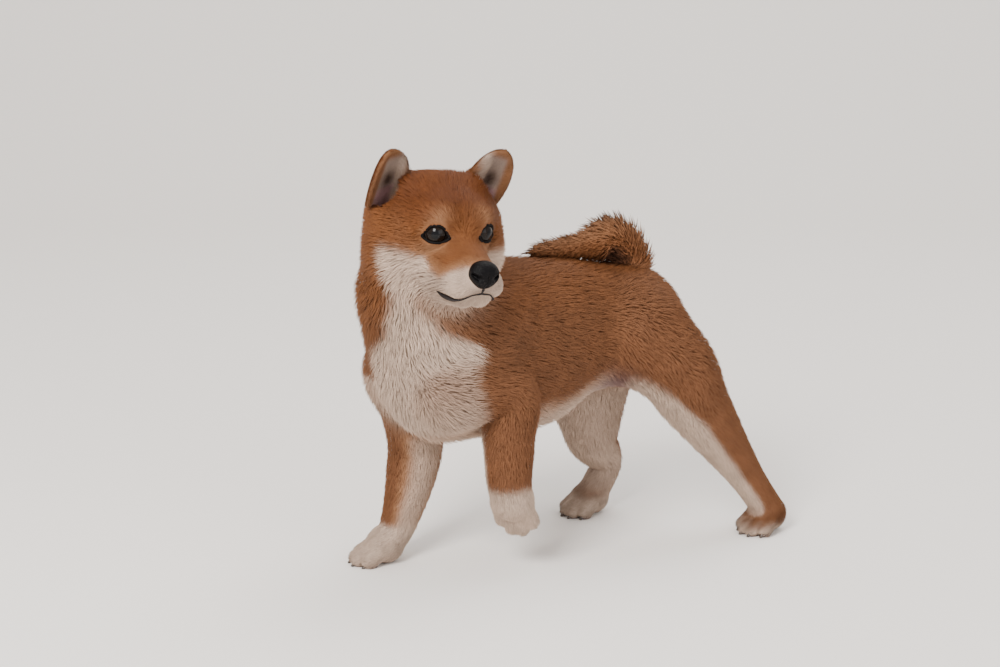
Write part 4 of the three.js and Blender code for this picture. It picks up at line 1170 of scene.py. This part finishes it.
# The eyes, the nose and the lips carry no fur, and it is shorter close to them.
root_head = to_head(at_roots(skin_points))
eye_wide, eye_high, eye_out = in_eye(folded(root_head))
from_eye = np.where(eye_out > 0, almond(eye_wide, eye_high) - BARE_ROUND_EYE, FAR)
from_nose = (np.linalg.norm((root_head - NOSE_AT) / (NOSE_HALF + BARE_ROUND_NOSE), axis=1) - 1) * 11
from_mouth = np.full(len(root_head), FAR)
close = ((root_head > mouth_box[0]) & (root_head < mouth_box[1])).all(1)
from_mouth[close] = tube(root_head[close], mouth_rods)
bare_gap = np.minimum(np.minimum(from_eye, from_nose), from_mouth)
kept = bare_gap > 0
mix, corner_ids, bare_gap = mix[kept], corner_ids[kept], bare_gap[kept]

root = at_roots(skin_points)
root_normal = unit(at_roots(skin_normals))
root_lie = unit(at_roots(skin_lie))
root_depth = at_roots(skin_depth) * (0.3 + 0.7 * ramp(bare_gap, 0, SHORT_ROUND_FACE))
root_brush = at_roots(share["tail"])
root_part = weight.argmax(0)[corner_ids[:, 0]]


def clump_of(p, size):
    """The nearest of a set of points drawn one to each cube of a grid, and a number drawn for it."""
    cube = np.floor(p / size).astype(np.int64)
    best = np.full(len(p), np.inf)
    centre = np.zeros_like(p)
    number = np.zeros(len(p))
    for step in np.stack(np.meshgrid(*[[-1, 0, 1]] * 3, indexing="ij"), -1).reshape(-1, 3):
        near = cube + step
        drawn = CLUMP_TABLE[(near * CLUMP_PRIMES).sum(-1) % len(CLUMP_TABLE)]
        point = (near + drawn[:, :3]) * size
        far = dots(p - point, p - point)
        nearer = far < best
        best[nearer] = far[nearer]
        centre[nearer] = point[nearer]
        number[nearer] = drawn[nearer, 3]
    return centre, number


short = root_depth < SHORT_COAT
centre_long, number_long = clump_of(root, CLUMP_SIZES[0])
centre_short, number_short = clump_of(root, CLUMP_SIZES[1])
clump_centre = np.where(short[:, None], centre_short, centre_long)
clump_number = np.where(short, number_short, number_long)

count = len(root)
height = root_depth * draw.uniform(*HEIGHTS, count)
height *= 1 + root_brush * np.where(draw.random(count) < WISPS, draw.uniform(*WISP_HEIGHTS, count), 0)
forward = tuft_reach(root_depth) * draw.uniform(*REACHES, count)
swing = np.where(short, 0.45, 1.0) * (SWING[1] * waves(root, 30, 31) + SWING[2] * waves(root, 11, 32))
swing = draw.normal(0, SWING[0], count) + swing
heading = unit(root_lie + np.cross(root_normal, root_lie) * swing[:, None])
to_clump = clump_centre - root
to_clump -= root_normal * dots(to_clump, root_normal)[:, None]
pull = np.where(short, *CLUMP_PULL[::-1])
pull = pull * np.minimum(1, CLUMP_REACH / np.maximum(np.linalg.norm(to_clump, axis=1), 1e-6))
tip = heading * forward[:, None] + root_normal * height[:, None] + to_clump * pull[:, None]
middle = heading * (forward * MIDDLE[0])[:, None] + root_normal * (height * MIDDLE[1])[:, None]
middle = middle + to_clump * (pull * MIDDLE[2])[:, None]
width = tuft_width(np.hypot(height, forward)) * draw.uniform(*WIDTHS, count)
width *= 1 + BRUSH_WIDTH * root_brush

flank_of = unit(np.cross(root_normal, heading))
thick = unit(np.cross(heading, flank_of))
ring = np.stack([flank_of * 0.5, -flank_of * 0.5, thick * 0.4], 1) * width[:, None, None]
sunk = root - root_normal * ROOT_SUNK
tuft_points = np.concatenate([sunk[:, None], (root + middle)[:, None] + ring, (root + tip)[:, None]], 1)
ring_normals = np.stack([flank_of + thick * 0.2, -flank_of + thick * 0.2, thick], 1)
tuft_normals = np.concatenate([thick[:, None], ring_normals, thick[:, None]], 1)
tuft_normals = unit(tuft_normals * (1 - SOFTNESS) + root_normal[:, None] * SOFTNESS)
tuft_shade = 1 + 0.07 * (clump_number - 0.5) + draw.normal(0, 0.075, count)
tip_shade = np.where(draw.random(count) < DARK_TIPS[0], DARK_TIPS[1], ROOT_SHADOWED_TONES[2])
# Each tuft's colour is darkened towards its root: painted shade.
root_shadowed_tones = np.column_stack([np.tile([ROOT_SHADOWED_TONES[0], *[ROOT_SHADOWED_TONES[1]] * 3], (count, 1)), tip_shade])
tuft_colours = (at_roots(skin_colour) * tuft_shade[:, None])[:, None] * root_shadowed_tones[..., None]
fur = coloured("fur", 0.6, specular_ior_level=0.14)


def unwrap_of(name, p):
    """Where points lie on an unwrap of their part, from 0 to 1: round it, and along it."""
    low, high = p.min(0), p.max(0)
    centre = (low + high) / 2
    axis = 0 if name in ("trunk", "tail") else 2
    u, v = (k for k in range(3) if k != axis)
    turn = np.arctan2(p[:, v] - centre[v], p[:, u] - centre[u])
    return np.column_stack([turn / (2 * math.pi) + 0.5, (p[:, axis] - low[axis]) / (high[axis] - low[axis])])


def coat_piece(name, part, chosen):
    """One piece of coat from the chosen tufts, with its colours and its small patches on the unwrap."""
    faces = (TUFT_FACES[None] + (np.arange(len(chosen)) * 5)[:, None, None]).reshape(-1, 3)
    made = plain_mesh(name, to_part(tuft_points[chosen]).reshape(-1, 3), faces)
    put_colours(made, np.clip(tuft_colours[chosen], 0.006, 0.95).reshape(-1, 3))
    patches = (UNWRAP_EDGE + (1 - 2 * UNWRAP_EDGE) * unwrap_of(part, root[chosen]))[:, None] + TUFT_PATCH
    layer = made.data.uv_layers.new(name="OFBake")
    layer.data.foreach_set("uv", patches.reshape(-1, 2)[faces].astype(F).ravel())
    made.data.normals_split_custom_set_from_vertices(tuft_normals[chosen].reshape(-1, 3).astype(F))
    made.data.materials.append(fur)
    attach(made, "root")


for number, part in enumerate(PART_NAMES):
    chosen = np.flatnonzero(root_part == number)
    if not len(chosen):
        continue
    chosen = chosen[np.argsort(root[chosen, 0])]
    for piece, some in enumerate(np.array_split(chosen, -(-len(chosen) // LONGEST_PIECE))):
        coat_piece(f"coat_{part}_{piece + 1}", part, some)

# Whiskers
# Stiff dark hairs in rows on the sides of the muzzle, swept back along the cheek and tapered to nothing.
# Each is a three-sided rod carried along a bent path, sunk in the lip at its root.
WHISKER_ROWS = [(-24, 5), (-28, 5), (-32, 4)]  # height on the lip, and how many in the row
WHISKER_FRONT = 61.0
WHISKER_OUT = 22.0
WHISKER_SPACING = 4.6
WHISKER_LENGTH = (15.0, 34.0)  # at the front of a row and at its back
WHISKER_RADIUS = 0.2
WHISKER_SPREAD = 0.42
WHISKER_DROOP = np.array([0, 0, -0.2])


def joined(shapes):
    """One mesh's points and triangles from several closed shapes."""
    starts = np.cumsum([0] + [len(points) for points, _ in shapes[:-1]])
    return (
        np.concatenate([points for points, _ in shapes]),
        np.concatenate([faces + start for (_, faces), start in zip(shapes, starts)]),
    )


whisker_draw = np.random.default_rng(12)
hairs = []
for row, (level, row_count) in enumerate(WHISKER_ROWS):
    for n in range(row_count):
        for side in SIDES.values():
            at = np.array([WHISKER_FRONT - n * WHISKER_SPACING - row * 1.5, WHISKER_OUT, level + n * 0.6])
            at = snapped(bare_skull, (at * side)[None] + whisker_draw.normal(0, 0.5, (1, 3)))[0]
            out = unit(slope_of(bare_skull, at[None])[0])
            reach = WHISKER_LENGTH[0] + (WHISKER_LENGTH[1] - WHISKER_LENGTH[0]) * n / (row_count - 1)
            reach *= whisker_draw.uniform(0.75, 1.2)
            back = unit(np.array([-1, 0.55 * side[1], -0.3 + whisker_draw.normal(0, 0.15)]))
            t = np.linspace(0, 1, 8)[:, None]
            curve = back * t**1.1 + out * WHISKER_SPREAD * t * (1 - 0.4 * t) + WHISKER_DROOP * t**2
            hairs.append(swept(at - out + reach * curve, WHISKER_RADIUS * (1.05 - t[:, 0]), 3))
whisker_points, whisker_faces = joined(hairs)
whiskers = plain_mesh("whiskers", to_part(from_head(whisker_points)), whisker_faces)
whiskers.data.materials.append(grained(
    shader("whisker_hair", roughness=0.35),
    "ShaderNodeTexNoise", {"Scale": 300}, tones=[(0.02, 0.013, 0.01), (0.07, 0.045, 0.03)],
))
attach(whiskers, "root")

# Claws and pads
# Each toe ends in a short dark claw that bends down, and has a soft round pad of bare skin under it, with a
# broad pad behind the four. The standing paws rest on their pads.
CLAW_LENGTH = 7.0
CLAW_RADIUS = 2.1
CLAW_BEND = 1.5
CLAW_DROP = 2.8
CLAW_SUNK = 3.0
TOE_PAD = np.array([6.2, 4.6, 3.4])
MAIN_PAD = np.array([8.5, 9.5, 4.0])
PAD_UP = -12.2  # the toe pads' height from the paw's middle

claw_horn = grained(
    shader("claw_horn", roughness=0.3),
    "ShaderNodeTexNoise", {"Scale": 500}, tones=[(0.016, 0.011, 0.009), (0.09, 0.065, 0.05)],
)
pad_skin = grained(
    shader("pad_skin", roughness=0.6),
    "ShaderNodeTexVoronoi", {"Scale": 1300}, [(0.05, 0.035, 0.036), (0.12, 0.085, 0.085)], (0.6, 0.0005),
)


def claw(paw, side_by, length_by):
    """A round section carried along a quarter bend, its radius falling to a fine tip."""
    start, end = toe_line(paw, side_by, length_by)
    heading = unit(end - start)
    down = -paw_frame(paw)[2]
    t = np.linspace(0, 1, 12)[:, None]
    root_at = end + heading * (TOE_RADII[1] * paw["size"] - CLAW_SUNK)
    path = root_at + heading * CLAW_LENGTH * 0.82 * np.sin(t * CLAW_BEND) / math.sin(CLAW_BEND)
    path = path + down * CLAW_DROP * t**2
    path[:, 2] = np.maximum(path[:, 2], 0.8)
    return swept(path, CLAW_RADIUS * (1 - 0.82 * t[:, 0] ** 1.4), 12, 0.8)


def pad(paw, ahead_by, side_by, half):
    """A flattened ball square to the paw, that stops at the floor."""
    directions, faces = ball(28, 18)
    points = in_paw(paw, ahead_by, side_by, PAD_UP) + (directions * half * paw["size"]) @ paw_frame(paw)
    points[:, 2] = np.maximum(points[:, 2], 0.05)
    return points, faces


for name, leg in LEGS.items():
    paw = leg["paw"]
    paw_name = name.replace("leg", "paw")
    claws = closed_piece(f"claws_{paw_name}", *joined([claw(paw, *toe) for toe in TOES]))
    claws.data.materials.append(claw_horn)
    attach(claws, "root")
    pads = [pad(paw, length_by, side_by, TOE_PAD) for side_by, length_by in TOES]
    soles = closed_piece(f"pads_{paw_name}", *joined([*pads, pad(paw, 2.5, 0, MAIN_PAD)]))
    soles.data.materials.append(pad_skin)
    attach(soles, "root")
